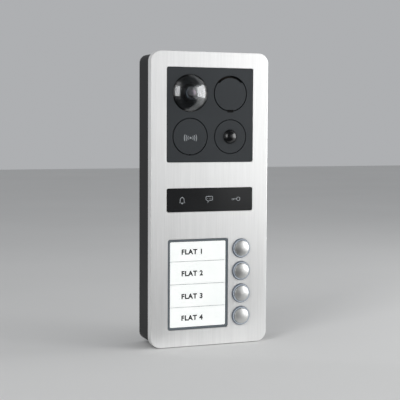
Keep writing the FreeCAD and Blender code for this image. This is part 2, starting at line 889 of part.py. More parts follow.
# ---------------------------------------------------------------- motion sensor insert
def motion_disc():
    hole = rod(motion_lens_r + slip, carrier_y - past, insert_back_y + past, motion_x, motion_z)
    return insert_disc(motion_x, motion_z, motion_disc_r).cut(hole)


def motion_lens():
    """A domed lens with a skirt and a flange, pushed into its disc from behind."""
    big = sphere_through(motion_lens_r, motion_lens_height)
    hollow_r = motion_lens_r - motion_lens_wall
    apex = carrier_y - motion_lens_height
    inner_apex = apex + motion_lens_wall
    flange_r = motion_lens_r + motion_lens_flange_w
    back_y = insert_back_y + motion_lens_flange_t
    return turned(
        motion_x,
        motion_z,
        (0, apex),
        ((motion_lens_r / 2, apex + cap_drop(motion_lens_r / 2, big)), (motion_lens_r, carrier_y)),
        (motion_lens_r, insert_back_y),
        (flange_r, insert_back_y),
        (flange_r, back_y),
        (hollow_r, back_y),
        (hollow_r, inner_apex + cap_drop(hollow_r, big)),
        ((hollow_r / 2, inner_apex + cap_drop(hollow_r / 2, big)), (0, inner_apex)),
    )


def motion_sensor():
    """A round metal can on its base, with three legs down to the board."""
    y1 = module_board_y - motion_leg_l
    can = rod(motion_can_r - motion_can_lip, y1 - motion_can_t, y1, motion_x, motion_z)
    base = rod(motion_can_r, y1 - motion_can_base_t, y1, motion_x, motion_z)
    legs = []
    for degrees in (90, 210, 330):
        a = math.radians(degrees)
        x = motion_x + motion_leg_circle_r * math.cos(a)
        z = motion_z + motion_leg_circle_r * math.sin(a)
        legs.append(rod(motion_leg_r, y1, module_board_y, x, z))
    return joined([can, base] + legs)


# ---------------------------------------------------------------- camera insert
def camera_dome():
    """A clear shallow dome with a skirt through the carrier and a flange behind it."""
    big = sphere_through(dome_r, dome_height)
    inner = big - dome_wall
    apex = carrier_y - dome_height
    inner_apex = apex + dome_wall
    skirt_r = dome_r - dome_wall
    return turned(
        camera_x,
        camera_z,
        (0, apex),
        ((dome_r / 2, apex + cap_drop(dome_r / 2, big)), (dome_r, carrier_y)),
        (dome_r, insert_seat_y),
        (insert_flange_r, insert_seat_y),
        (insert_flange_r, dome_flange_back_y),
        (skirt_r, dome_flange_back_y),
        (skirt_r, inner_apex + cap_drop(skirt_r, inner)),
        ((skirt_r / 2, inner_apex + cap_drop(skirt_r / 2, inner)), (0, inner_apex)),
    )


def dome_seal():
    return tube(insert_flange_r, dome_r - dome_wall, dome_flange_back_y, carrier_back_y, camera_x, camera_z)


def camera_socket():
    """The black mask behind the dome, which also holds the two upright pan pivots."""
    y1 = carrier_back_y + socket_flange_t
    collar_y = y1 + socket_collar_h
    body = turned(
        camera_x,
        camera_z,
        (socket_mouth_r, mask_front_y),
        (socket_outer_r, mask_front_y + socket_mask_dish),
        (socket_outer_r, carrier_back_y),
        (insert_flange_r, carrier_back_y),
        (insert_flange_r, y1),
        (socket_outer_r, y1),
        (socket_outer_r, collar_y),
        (socket_inner_r, collar_y),
        (socket_inner_r, mask_front_y + socket_mask_t + socket_mask_dish),
        (socket_mouth_r, mask_front_y + socket_mask_t),
    )
    pivot = V(camera_x, camera_pivot_y, camera_z)
    for side in (-1, 1):
        reach = gimbal_pin_end + pin_clearance
        body = body.cut(Part.makeCylinder(gimbal_pin_r + pin_clearance, reach, pivot, V(0, 0, side)))
    return body.removeSplitter()


def camera_pan_ring():
    """A ring that turns about the upright axis on two pins, with bores for the ball's own two pins."""
    y0 = camera_pivot_y - gimbal_half_t
    y1 = camera_pivot_y + gimbal_half_t
    pivot = V(camera_x, camera_pivot_y, camera_z)
    body = tube(gimbal_outer_r, gimbal_inner_r, y0, y1, camera_x, camera_z)
    root = gimbal_outer_r - gimbal_pin_root
    for side in (-1, 1):
        foot = pivot + V(0, 0, side * root)
        body = body.fuse(Part.makeCylinder(gimbal_pin_r, gimbal_pin_end - root, foot, V(0, 0, side)))
        bore_r = gimbal_pin_r + pin_clearance
        body = body.cut(Part.makeCylinder(bore_r, gimbal_outer_r + past, pivot, V(side, 0, 0)))
    return body.removeSplitter()


def camera_ball():
    """The ball that holds the lens barrel. It tilts on two pins and is cut flat behind for its board."""
    pivot = V(camera_x, camera_pivot_y, camera_z)
    back_y = camera_pivot_y + ball_back
    reach = 2 * ball_r
    behind = slab(reach, reach, back_y, back_y + reach, 0, camera_x, camera_z)
    body = Part.makeSphere(ball_r, pivot).cut(behind)
    body = body.fuse(rod(barrel_r, barrel_front_y + barrel_ring_t, camera_pivot_y, camera_x, camera_z))
    root = ball_r - 2 * gimbal_pin_root
    for side in (-1, 1):
        foot = pivot + V(side * root, 0, 0)
        body = body.fuse(Part.makeCylinder(gimbal_pin_r, gimbal_outer_r - root, foot, V(side, 0, 0)))
    body = body.cut(rod(lens_r, barrel_front_y - past, barrel_front_y + lens_well, camera_x, camera_z))
    body = body.cut(rod(sensor_hole_r, barrel_front_y, back_y + past, camera_x, camera_z))
    return body.removeSplitter()


def camera_lens_ring():
    """The ring screwed onto the barrel's front, which holds the front lens in."""
    inner_r = lens_r - lens_lip + slip
    back_y = barrel_front_y + barrel_ring_t
    return turned(
        camera_x,
        camera_z,
        (inner_r, barrel_front_y + barrel_ring_step),
        (lens_r + lens_lip, barrel_front_y),
        (barrel_r - barrel_ring_step, barrel_front_y),
        (barrel_r, barrel_front_y + barrel_ring_step),
        (barrel_r, back_y),
        (inner_r, back_y),
    )


def camera_lens():
    """The front lens: a deep meniscus, held behind its ring."""
    y0 = barrel_front_y + barrel_ring_t
    y1 = y0 + lens_t
    r = lens_r - pin_clearance
    window_r = lens_r - lens_lip
    apex = y0 - lens_bulge
    big = sphere_through(window_r, lens_bulge)
    hollow_r = window_r * lens_hollow_share
    hollow = lens_bulge * lens_hollow_depth_share
    curve = sphere_through(hollow_r, hollow)
    return turned(
        camera_x,
        camera_z,
        (0, apex),
        ((window_r / 2, apex + cap_drop(window_r / 2, big)), (window_r, y0)),
        (r, y0),
        (r, y1),
        (hollow_r, y1),
        ((hollow_r / 2, y1 - hollow + cap_drop(hollow_r / 2, curve)), (0, y1 - hollow)),
    )


def camera_sensor_board():
    y0 = camera_pivot_y + ball_back
    y1 = y0 + sensor_board_t
    side = sensor_board_side
    board = slab(side, side, y0, y1, sensor_board_corner_r, camera_x, camera_z)
    return board.fuse(slab(sensor_chip_side, sensor_chip_side, y1, y1 + sensor_chip_t, 0, camera_x, camera_z))


# ---------------------------------------------------------------- inner frame
def inner_frame():
    """The moulded plate that clamps the indicator window, the name panel and the button rings to the
    cover, carries the main board on posts, and takes the lock screws in two lugs at its foot."""
    body = slab(frame_w, frame_h, frame_y, frame_back_y, frame_corner_r, 0, frame_z)
    posts = [rod(post_r, frame_back_y, main_board_y, x, z) for x, z in frame_posts()]
    lug_top_z = lug_bottom_z + lug_h
    lugs = []
    for side in (-1, 1):
        x0 = side * lock_x - lug_w / 2
        lugs.append(block(x0, x0 + lug_w, frame_y, lock_y + lug_back, lug_bottom_z, lug_top_z))
    body = joined([body] + posts + lugs)
    y0 = frame_y - past
    y1 = frame_back_y + past
    grown = 2 * window_gap
    seat = 2 * flange_w + grown
    body = body.cut(slab(windows_w + seat, strip_h + seat, y0, flange_back_y, flange_corner_r, 0, strip_z))
    body = body.cut(slab(light_box_w + grown, light_box_h + grown, y0, y1, light_corner_r, 0, strip_z))
    wide = name_frame_w + seat
    high = name_frame_h + seat
    body = body.cut(slab(wide, high, y0, flange_back_y, flange_corner_r, names_x, names_z))
    wide = name_view_w + 2 * name_light_margin + grown
    high = name_view_h + 2 * name_light_margin + grown
    body = body.cut(slab(wide, high, y0, y1, name_view_r, names_x, names_z))
    for z in button_zs:
        body = body.cut(rod(ring_flange_r + window_gap, y0, flange_back_y, button_x, z))
        body = body.cut(rod(cap_flange_r + button_hole_gap, y0, y1, button_x, z))
    for x, z in frame_studs():
        body = body.cut(rod(m3_r + slip, y0, y1, x, z))
    for x, z in frame_posts():
        hole_y = main_board_y - frame_post_hole_depth
        body = body.cut(rod(m25_r + thread_clearance, hole_y, main_board_y + past, x, z))
    for side in (-1, 1):
        foot = V(side * lock_x, lock_y, lug_bottom_z - past)
        hole_r = m3_r + thread_clearance
        body = body.cut(Part.makeCylinder(hole_r, lug_h + 2 * past, foot, V(0, 0, 1)))
    return body.removeSplitter()


# ---------------------------------------------------------------- indicator window
def indicator_window():
    """A smoked window over the indicator lights, with a flange behind the cover."""
    y0 = face_y + indicator_recess
    corner_r = window_corner_r - window_gap
    plug = slab(windows_w - 2 * window_gap, strip_h - 2 * window_gap, y0, cover_inner_y, corner_r, 0, strip_z)
    plug = softened(plug, y0, indicator_edge_r)
    wide = windows_w + 2 * flange_w
    high = strip_h + 2 * flange_w
    flange = slab(wide, high, cover_inner_y, flange_back_y, flange_corner_r, 0, strip_z)
    return plug.fuse(flange).removeSplitter()


def indicator_light_box():
    """Open cells, one behind each sign, that keep the lights apart."""
    body = slab(light_box_w, light_box_h, flange_back_y, main_board_y, light_corner_r, 0, strip_z)
    cell_w = indicator_pitch - light_wall
    cell_h = light_box_h - 2 * light_wall
    for x in indicator_xs:
        y0 = flange_back_y - past
        body = body.cut(slab(cell_w, cell_h, y0, main_board_y + past, light_corner_r, x, strip_z))
    return body


# ---------------------------------------------------------------- name panel
def name_frame():
    """The dark rim round the name window: bevelled in front, rebated behind for the window."""
    y0 = face_y + name_frame_recess
    plug_w = name_frame_w - 2 * window_gap
    plug_h = name_frame_h - 2 * window_gap
    plug = slab(plug_w, plug_h, y0, cover_inner_y, window_corner_r - window_gap, names_x, names_z)
    wide = name_frame_w + 2 * flange_w
    high = name_frame_h + 2 * flange_w
    body = plug.fuse(slab(wide, high, cover_inner_y, flange_back_y, flange_corner_r, names_x, names_z))
    y1 = flange_back_y + past
    body = body.cut(slab(name_view_w, name_view_h, y0 - past, y1, name_view_r, names_x, names_z))
    rebate_w = name_view_w + 2 * name_rebate
    rebate_h = name_view_h + 2 * name_rebate
    body = body.cut(slab(rebate_w, rebate_h, name_step_y, y1, name_view_r, names_x, names_z))
    body = body.removeSplitter()
    opening = edges_at(body, y0, name_view_w / 2 + slip, name_view_h / 2 + slip, names_x, names_z)
    return body.makeChamfer(name_rim_bevel, opening)


def name_window():
    """A clear window, stepped so that it fills the rim's opening and seats in its rebate from behind."""
    front_w = name_view_w - slip
    front_h = name_view_h - slip
    front = slab(front_w, front_h, name_window_y, name_step_y, name_view_r, names_x, names_z)
    back = slab(name_back_w, name_back_h, name_step_y, name_window_back_y, name_view_r, names_x, names_z)
    return softened(front.fuse(back).removeSplitter(), name_window_y, name_window_edge_r)


def name_label(i):
    """One card strip for a name, beside button i. The strips meet halfway between the buttons."""
    half_h = name_back_h / 2 - label_side_gap
    top = names_z + half_h if i == 0 else button_zs[i] + button_pitch / 2 - label_gap / 2
    last = i == button_count - 1
    bottom = names_z - half_h if last else button_zs[i] - button_pitch / 2 + label_gap / 2
    half_w = name_back_w / 2 - label_side_gap
    return block(names_x - half_w, names_x + half_w, name_window_back_y, label_back_y, bottom, top)


def label_diffuser():
    return slab(name_back_w, name_back_h, label_back_y, diffuser_back_y, name_view_r, names_x, names_z)


def label_light_box():
    """White walls that keep the lamps' light behind the diffuser."""
    w = name_view_w + 2 * name_light_margin
    h = name_view_h + 2 * name_light_margin
    body = slab(w, h, diffuser_back_y, main_board_y, name_view_r, names_x, names_z)
    well_w = w - 2 * light_wall
    well_h = h - 2 * light_wall
    y0 = diffuser_back_y - past
    return body.cut(slab(well_w, well_h, y0, main_board_y + past, light_corner_r, names_x, names_z))


def backlight_leds():
    """One lamp behind each sign, and two columns of three behind the name labels."""
    places = [(x, strip_z) for x in indicator_xs]
    for across in (-1, 1):
        for up in (-1, 0, 1):
            places.append((names_x + across * name_view_w / 4, names_z + up * name_view_h / 3))
    lamps = []
    front_y = main_board_y - led_t
    for x, z in places:
        base = slab(led_w, led_h, front_y, main_board_y, led_corner_r, x, z)
        lamps.append(base.fuse(rod(led_lens_r, front_y - led_lens_t, front_y, x, z)))
    return Part.makeCompound(lamps)


# ---------------------------------------------------------------- call buttons
def button_cap(z):
    """A domed metal cap with a stop flange, a seat for its spring and a stem that works the switch."""
    apex = cap_rim_y - button_dome
    crown_r = button_r - button_rim_r
    big = sphere_through(crown_r, button_dome)
    bend = button_rim_r * (1 - math.sqrt(0.5))
    seat = cap_seat_y + slip
    inner_y = cap_rim_y + button_wall
    return turned(
        button_x,
        z,
        (0, apex),
        ((crown_r / 2, apex + cap_drop(crown_r / 2, big)), (crown_r, cap_rim_y)),
        ((button_r - bend, cap_rim_y + bend), (button_r, cap_rim_y + button_rim_r)),
        (button_r, seat),
        (cap_flange_r, seat),
        (cap_flange_r, seat + button_flange_t),
        (button_r - button_wall, seat + button_flange_t),
        (button_r - button_wall, inner_y),
        (spring_seat_r, inner_y),
        (spring_seat_r, spring_front_y),
        (stem_r, spring_front_y),
        (stem_r, switch_front_y - stem_bevel),
        (stem_r - stem_bevel, switch_front_y),
        (0, switch_front_y),
    )


def button_ring(z):
    """The clear ring round a button. It is lit from behind and guides the cap."""
    top_y = face_y - ring_proud
    shoulder_r = cap_flange_r + ring_shoulder
    bend = ring_round * (1 - math.sqrt(0.5))
    return turned(
        button_x,
        z,
        (ring_bore_r, top_y + ring_round),
        ((ring_bore_r + bend, top_y + bend), (ring_bore_r + ring_round, top_y)),
        (ring_top_r - ring_round, top_y),
        ((ring_top_r - bend, top_y + bend), (ring_top_r, top_y + ring_round)),
        (ring_base_r, face_y),
        (ring_base_r, cover_inner_y),
        (ring_flange_r, cover_inner_y),
        (ring_flange_r, flange_back_y),
        (shoulder_r, flange_back_y),
        (shoulder_r, cap_seat_y),
        (ring_bore_r, cap_seat_y),
    )


def button_spring(z):
    """A coil spring from the switch's face to its seat under the cap, as it stands with the button out."""
    start = spring_front_y + spring_wire_r + spring_play
    length = switch_front_y - spring_wire_r - spring_play - start
    helix = Part.makeLongHelix(length / spring_turns, length, spring_mean_r)
    ring = Part.makeCircle(spring_wire_r, V(spring_mean_r, 0, 0), V(0, 1, 0))
    coil = Part.Wire(helix.Edges).makePipeShell([Part.Wire([ring])], True, True)
    coil.rotate(V(0, 0, 0), V(1, 0, 0), -90)
    coil.translate(V(button_x, start, z))
    return coil


def button_switches():
    """Four key switches on the main board. Each has a well that takes its button's stem."""
    switches = []
    foot_x = (switch_side + switch_foot_w) / 2
    for z in button_zs:
        body = slab(switch_side, switch_side, switch_front_y, main_board_y, switch_corner_r, button_x, z)
        feet = []
        for x in (button_x - foot_x, button_x + foot_x):
            for foot_z in (z - switch_foot_z, z + switch_foot_z):
                y0 = main_board_y - switch_foot_t
                feet.append(slab(switch_foot_w, switch_foot_h, y0, main_board_y, 0, x, foot_z))
        well_y = switch_front_y + button_travel + switch_overtravel
        well = rod(stem_r + stem_gap, switch_front_y - past, well_y, button_x, z)
        switches.append(joined([body] + feet).cut(well))
    return Part.makeCompound(switches)


# ---------------------------------------------------------------- boards
def main_board():
    h = main_board_top_z - main_board_bottom_z
    middle = (main_board_top_z + main_board_bottom_z) / 2
    body = slab(board_w, h, main_board_y, main_board_back_y, board_corner_r, 0, middle)
    y0 = main_board_y - past
    y1 = main_board_back_y + past
    for x, z in frame_posts():
        body = body.cut(rod(m25_r + slip, y0, y1, x, z))
    for x, z in frame_studs():
        body = body.cut(rod(m3_r + nut_across_flats / 2, y0, y1, x, z))
    return body


def module_board():
    top = module_z + carrier_flange_h / 2
    bottom = frame_top_z - board_lap
    y1 = module_board_y + board_t
    body = slab(board_w, top - bottom, module_board_y, y1, board_corner_r, 0, (top + bottom) / 2)
    for x, z in carrier_posts():
        body = body.cut(rod(m25_r + slip, module_board_y - past, y1 + past, x, z))
    return body


def board_link():
    """The pin strip that joins the two boards where they lap."""
    z = frame_top_z - board_lap / 2 - link_below_middle
    return slab(link_w, link_h, main_board_back_y, module_board_y, link_corner_r, 0, z)


def board_screws():
    lower = [(x, main_board_back_y, z) for x, z in frame_posts()]
    upper = [(x, module_board_y + board_t, z) for x, z in carrier_posts()]
    forward = (0, -1, 0)
    screws = [screw(m25_r, m25_head_r, m25_head_t, board_screw_l, at, forward) for at in lower]
    screws += [screw(m25_r, m25_head_r, m25_head_t, module_screw_l, at, forward) for at in upper]
    return Part.makeCompound(screws)


def terminal_block():
    """Screw terminals for the bus wires, on the back of the main board."""
    y1 = main_board_back_y + terminal_t
    body = slab(terminal_w, terminal_h, main_board_back_y, y1, terminal_corner_r, 0, terminal_z)
    pitch = terminal_w / terminal_poles
    well_y = y1 - terminal_well_depth
    screw_z = terminal_z + terminal_well_up
    for i in range(terminal_poles):
        x = (i - (terminal_poles - 1) / 2) * pitch
        body = body.cut(rod(terminal_well_r, well_y, y1 + past, x, screw_z))
        wire_z = terminal_z - terminal_wire_down
        body = body.cut(rod(terminal_wire_r, y1 - terminal_wire_depth, y1 + past, x, wire_z))
        body = body.fuse(rod(terminal_screw_r, well_y, well_y + terminal_screw_t, x, screw_z))
    return body.removeSplitter()


def door_relay():
    y1 = main_board_back_y + relay_t
    body = slab(relay_w, relay_h, main_board_back_y, y1, relay_corner_r, relay_x, relay_z)
    return softened(body, y1, relay_top_r)


os.makedirs("parts", exist_ok=True)
SINGLE = (
    rear_housing, cover_seal, cable_grommet, front_cover, cover_hooks, cover_nuts, lock_screws,
    module_carrier, module_gasket, speaker_disc, speaker_basket, speaker_cone, speaker_magnet,
    reader_disc, reader_board, reader_coil, microphone, microphone_boot, motion_disc, motion_lens,
    motion_sensor, camera_dome, dome_seal, camera_socket, camera_pan_ring, camera_ball,
    camera_lens_ring, camera_lens, camera_sensor_board, inner_frame, indicator_window,
    indicator_light_box, name_frame, name_window, label_diffuser, label_light_box, backlight_leds,
    button_switches, main_board, module_board, board_link, board_screws, terminal_block, door_relay,
)
for maker in SINGLE:
    save(maker.__name__, maker())
for i, z in enumerate(button_zs):
    number = str(i + 1)
    save("name_label_" + number, name_label(i))
    save("button_cap_" + number, button_cap(z))
    save("button_ring_" + number, button_ring(z))
    save("button_spring_" + number, button_spring(z))
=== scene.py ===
import math
import bmesh
import bpy
from mathutils import Matrix, Vector


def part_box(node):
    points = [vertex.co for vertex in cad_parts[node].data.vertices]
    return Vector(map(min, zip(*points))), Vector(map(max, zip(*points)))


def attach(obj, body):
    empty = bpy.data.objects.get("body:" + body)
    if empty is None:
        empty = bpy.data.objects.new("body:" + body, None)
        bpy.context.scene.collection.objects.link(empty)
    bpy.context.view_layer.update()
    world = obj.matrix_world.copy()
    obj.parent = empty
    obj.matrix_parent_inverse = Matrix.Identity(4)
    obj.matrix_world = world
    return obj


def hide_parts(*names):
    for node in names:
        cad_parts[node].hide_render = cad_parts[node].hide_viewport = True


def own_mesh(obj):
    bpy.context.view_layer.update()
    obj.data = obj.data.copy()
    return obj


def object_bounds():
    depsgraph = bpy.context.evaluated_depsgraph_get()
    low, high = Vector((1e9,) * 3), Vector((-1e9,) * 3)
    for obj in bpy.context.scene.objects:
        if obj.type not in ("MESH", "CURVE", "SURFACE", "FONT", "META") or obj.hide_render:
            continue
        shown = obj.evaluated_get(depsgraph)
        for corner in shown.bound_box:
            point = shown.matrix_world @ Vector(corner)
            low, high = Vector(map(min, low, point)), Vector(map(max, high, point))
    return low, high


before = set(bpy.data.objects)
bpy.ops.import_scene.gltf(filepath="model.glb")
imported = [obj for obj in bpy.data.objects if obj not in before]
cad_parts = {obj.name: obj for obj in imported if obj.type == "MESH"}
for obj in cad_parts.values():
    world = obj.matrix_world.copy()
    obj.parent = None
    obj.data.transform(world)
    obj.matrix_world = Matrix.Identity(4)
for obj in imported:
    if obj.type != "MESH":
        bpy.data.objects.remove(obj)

cad_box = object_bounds()

# ---------------------------------------------------------------- viewpoint
# Somebody stands a metre away, a little to the left of the panel and just above its middle, and looks
# at it through a long lens.
camera_data = bpy.data.cameras.new("viewpoint")
camera_data.lens = 95.4
camera_data.sensor_width = 36.0
camera_data.clip_end = 20.0
viewpoint = bpy.data.objects.new("viewpoint", camera_data)
bpy.context.scene.collection.objects.link(viewpoint)
bpy.context.scene.camera = viewpoint
azimuth, elevation, roll = (math.radians(a) for a in (-21.32, 4.03, 0.27))
towards = Vector((-math.sin(azimuth) * math.cos(elevation), math.cos(azimuth) * math.cos(elevation),
                  -math.sin(elevation)))
level = towards.cross(Vector((0, 0, 1))).normalized()
upright = level.cross(towards)
right = level * math.cos(roll) + upright * math.sin(roll)
up = upright * math.cos(roll) - level * math.sin(roll)
# The line of sight passes a little left of and below a spot just behind the panel's foremost point.
aim_depth, distance, to_left, to_low = 0.0071, 1.01803, 0.009772, 0.000334
aim = Vector((0, cad_box[0][1] + aim_depth, 0))
eye = aim - towards * distance - right * to_left - up * to_low
viewpoint.matrix_world = Matrix.Translation(eye) @ Matrix((right, up, -towards)).transposed().to_4x4()

# ---------------------------------------------------------------- floor and studio light
# A plain pale floor just under the panel, a pale surrounding and three soft lights: a broad square one on
# its right, a tall narrow one on its left, and a weaker one between the viewer and the right-hand one.
# None of it belongs to the object.
def linear(hex_colour):
    """A colour as sRGB hex, turned to the linear values that shaders take."""
    parts = [int(hex_colour[i:i + 2], 16) / 255 for i in (1, 3, 5)]
    return [p / 12.92 if p <= 0.04045 else ((p + 0.055) / 1.055) ** 2.4 for p in parts] + [1.0]


def add(tree, kind, settings, links=()):
    """Adds one node. Settings name its properties or sockets; links give socket, source and output."""
    node = tree.nodes.new(kind)
    for name, value in settings.items():
        if name in node.bl_rna.properties.keys():
            setattr(node, name, value)
        else:
            node.inputs[name].default_value = value
    for socket, source, output in links:
        tree.links.new(source.outputs[output], node.inputs[socket])
    return node


def finish(name, settings):
    """A new material whose shader holds the values that are the same all over the surface."""
    made = bpy.data.materials.new(name)
    made.use_nodes = True
    shader = made.node_tree.nodes["Principled BSDF"]
    for socket, value in settings.items():
        shader.inputs[socket].default_value = value
    return made, made.node_tree, shader


def mottle(tree, shader, low, high, patch_mm, detail, rough=None):
    """Clouds a surface between two colours and, where rough gives its ends, between two roughnesses."""
    place = add(tree, "ShaderNodeTexCoord", {})
    patches = add(tree, "ShaderNodeTexNoise", {"Scale": 1000 / patch_mm, "Detail": detail},
                  [("Vector", place, "Object")])
    colour = add(tree, "ShaderNodeMix", {"data_type": "RGBA", 6: linear(low), 7: linear(high)},
                 [(0, patches, "Fac")])
    tree.links.new(colour.outputs[2], shader.inputs["Base Color"])
    if rough:
        sheen = add(tree, "ShaderNodeMapRange", {"To Min": rough[0], "To Max": rough[1]},
                    [("Value", patches, "Fac")])
        tree.links.new(sheen.outputs[0], shader.inputs["Roughness"])
    return patches


def sheet(name, corners, material):
    """A flat sheet between four corners that stands about the object and is no part of it."""
    mesh = bpy.data.meshes.new(name)
    mesh.from_pydata(corners, [], [(0, 1, 2, 3)])
    mesh.materials.append(material)
    laid = bpy.data.objects.new(name, mesh)
    bpy.context.scene.collection.objects.link(laid)
    return laid


painted_floor, tree, shader = finish("matt_painted_floor", {"Roughness": 0.9})
mottle(tree, shader, "#D3D3D2", "#DCDCDB", patch_mm=333.3, detail=4.0)
reach, drop = 4.0, 0.0005
floor_z = cad_box[0][2] - drop
corners = [(x * reach, y * reach, floor_z) for x, y in ((-1, -1), (1, -1), (1, 1), (-1, 1))]
sheet("floor", corners, painted_floor)

room = bpy.data.worlds.new("studio")
bpy.context.scene.world = room
room.use_nodes = True
room.node_tree.nodes["Background"].inputs["Color"].default_value = linear("#E9EBEE")
room.node_tree.nodes["Background"].inputs["Strength"].default_value = 0.52
bpy.context.scene.view_settings.view_transform = "Standard"

for name, degrees, rise, away, width, height, power in (
        ("light_right", 68, 4, 1.1, 1.05, 1.05, 12.8), ("light_left", -50, 8, 1.2, 0.45, 2.2, 10.5),
        ("light_front", 42, 10, 1.6, 1.2, 1.2, 4.3)):
    lamp_data = bpy.data.lights.new(name, "AREA")
    lamp_data.shape = "RECTANGLE"
    lamp_data.size = width
    lamp_data.size_y = height
    lamp_data.energy = power
    lamp = bpy.data.objects.new(name, lamp_data)
    bpy.context.scene.collection.objects.link(lamp)
    turn, lift = math.radians(degrees), math.radians(rise)
    out = Vector((math.sin(turn) * math.cos(lift), -math.cos(turn) * math.cos(lift), math.sin(lift)))
    lamp.matrix_world = Matrix.Translation(out * away) @ out.to_track_quat("Z", "Y").to_matrix().to_4x4()
    lamp.visible_camera = False

# A dark card stands behind the viewer, a dark sheet lies before the panel and another hangs above it, so
# its glass and domed metal have something dark to mirror between the two side lights.
card_cloth, tree, shader = finish("dark_card", {"Roughness": 1.0, "Specular IOR Level": 0.0})
mottle(tree, shader, "#2C2D2E", "#363738", patch_mm=25.0, detail=2.0)
turn = math.radians(-21)
out = Vector((math.sin(turn), -math.cos(turn), 0))
across = Vector((math.cos(turn), math.sin(turn), 0))
behind_viewer, card_top, sheet_z, canopy_z = 1.35, 0.95, floor_z + 0.001, 0.75
# Each corner is given by its place across the view, its distance out from the panel and its height.
upright_card = ((-0.5, behind_viewer, floor_z), (0.42, behind_viewer, floor_z),
                (0.42, behind_viewer, card_top), (-0.5, behind_viewer, card_top))
flat_card = ((-1.1, 1.3, sheet_z), (0.9, 1.3, sheet_z), (0.4, 0.16, sheet_z), (-0.35, 0.02, sheet_z))
high_card = ((-1.0, 0.0, canopy_z), (1.0, 0.0, canopy_z), (1.0, 1.2, canopy_z), (-1.0, 1.2, canopy_z))
for name, places in (("dark_card", upright_card), ("dark_sheet", flat_card), ("dark_canopy", high_card)):
    corners = [out * away + across * x + Vector((0, 0, z)) for x, away, z in places]
    card = sheet(name, corners, card_cloth)
    card.visible_camera = False
    card.visible_shadow = False
    card.visible_diffuse = False

# ---------------------------------------------------------------- rear housing
# The tray that is screwed to the wall: one injection moulding in dark grey, weatherproof ASA. Its steel
# mould was spark-eroded, which leaves a fine even grain and a soft sheen.
def dress(material, *names):
    """Gives the frame's own pieces their finished material."""
    for name in names:
        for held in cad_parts[name].material_slots:
            held.material = material


def moulded(name, low, high, rough, grain_mm, depth_mm, more=()):
    """A moulded plastic: its grain, a little unevenness in its sheen and a cloudy change of colour."""
    made, tree, shader = finish(name, dict({"IOR": 1.5, "Specular IOR Level": 0.3}, **dict(more)))
    cloud_mm, uneven = 35.71, 0.05
    mottle(tree, shader, low, high, cloud_mm, detail=3.0)
    place = add(tree, "ShaderNodeTexCoord", {})
    grain = add(tree, "ShaderNodeTexNoise", {"Scale": 1000 / grain_mm, "Detail": 2.0},
                [("Vector", place, "Object")])
    sheen = add(tree, "ShaderNodeMapRange", {"To Min": rough - uneven, "To Max": rough + uneven},
                [("Value", grain, "Fac")])
    relief = add(tree, "ShaderNodeBump", {"Distance": depth_mm / 1000, "Strength": 0.6},
                 [("Height", grain, "Fac")])
    tree.links.new(sheen.outputs[0], shader.inputs["Roughness"])
    tree.links.new(relief.outputs[0], shader.inputs["Normal"])
    return made


# The mould's grain is about 0.15 mm; it is drawn at 0.5 mm so that it shows.
moulded_asa = moulded("moulded_asa_dark_grey", "#0D0E0F", "#121315", rough=0.5, grain_mm=0.5, depth_mm=0.03)
dress(moulded_asa, "rear_housing")

# ---------------------------------------------------------------- cover seal and cable gland
# Both are moulded EPDM rubber, soft and dead matt, with a dusty bloom. The seal lies on the housing's
# rim and the gland is snapped into the hole where the wall cable comes in.
epdm_rubber = moulded("moulded_epdm_rubber", "#151516", "#222223", rough=0.82, grain_mm=0.8, depth_mm=0.03)
dress(epdm_rubber, "cover_seal", "cable_grommet", "module_gasket", "microphone_boot", "dome_seal")

# ---------------------------------------------------------------- circuit boards
# Glass-fibre boards under green solder mask: the copper tracks below it stand out a little and look
# paler, and the mask gives a smooth, half-gloss surface.
solder_mask, tree, shader = finish("green_solder_mask", {
    "IOR": 1.5, "Coat Weight": 0.25, "Coat Roughness": 0.2})
place = add(tree, "ShaderNodeTexCoord", {})
# Tracks run on a 2.5 mm grid and the shader turns each cell into a track, a pad or bare board.
track_mm = 2.5
tracks = add(tree, "ShaderNodeTexVoronoi", {
    "distance": "MANHATTAN", "feature": "F1", "Scale": 1000 / track_mm}, [("Vector", place, "Object")])
edge = add(tree, "ShaderNodeMapRange", {"From Min": 0.32, "From Max": 0.36}, [("Value", tracks, "Distance")])
mask = add(tree, "ShaderNodeMix", {"data_type": "RGBA", 6: linear("#2C7A45"), 7: linear("#1C5A32")},
           [(0, edge, "Result")])
step = add(tree, "ShaderNodeBump", {"Distance": 0.00003, "invert": True}, [("Height", edge, "Result")])
sheen = add(tree, "ShaderNodeMapRange", {"To Min": 0.3, "To Max": 0.42}, [("Value", edge, "Result")])
tree.links.new(mask.outputs[2], shader.inputs["Base Color"])
tree.links.new(step.outputs[0], shader.inputs["Normal"])
tree.links.new(sheen.outputs[0], shader.inputs["Roughness"])
dress(solder_mask, "main_board", "module_board", "reader_board", "camera_sensor_board")


def open_tree(name, inputs):
    """A geometry node tree with named inputs, the identifiers that set them, and its input node."""
    tree = bpy.data.node_groups.new(name, "GeometryNodeTree")
    tree.interface.new_socket("Geometry", in_out="INPUT", socket_type="NodeSocketGeometry")
    identifiers = {}
    for label, kind in inputs.items():
        socket = tree.interface.new_socket(label, in_out="INPUT", socket_type="NodeSocket" + kind)
        identifiers[label] = socket.identifier
    tree.interface.new_socket("Geometry", in_out="OUTPUT", socket_type="NodeSocketGeometry")
    return tree, identifiers, add(tree, "NodeGroupInput", {})


def close_tree(tree, shape, output, given, label):
    """Ends a geometry node tree: real geometry, in the material that one of its inputs names."""
    real = add(tree, "GeometryNodeRealizeInstances", {}, [("Geometry", shape, output)])
    dressed = add(tree, "GeometryNodeSetMaterial", {},
                  [("Geometry", real, "Geometry"), ("Material", given, label)])
    add(tree, "NodeGroupOutput", {}, [(0, dressed, "Geometry")])


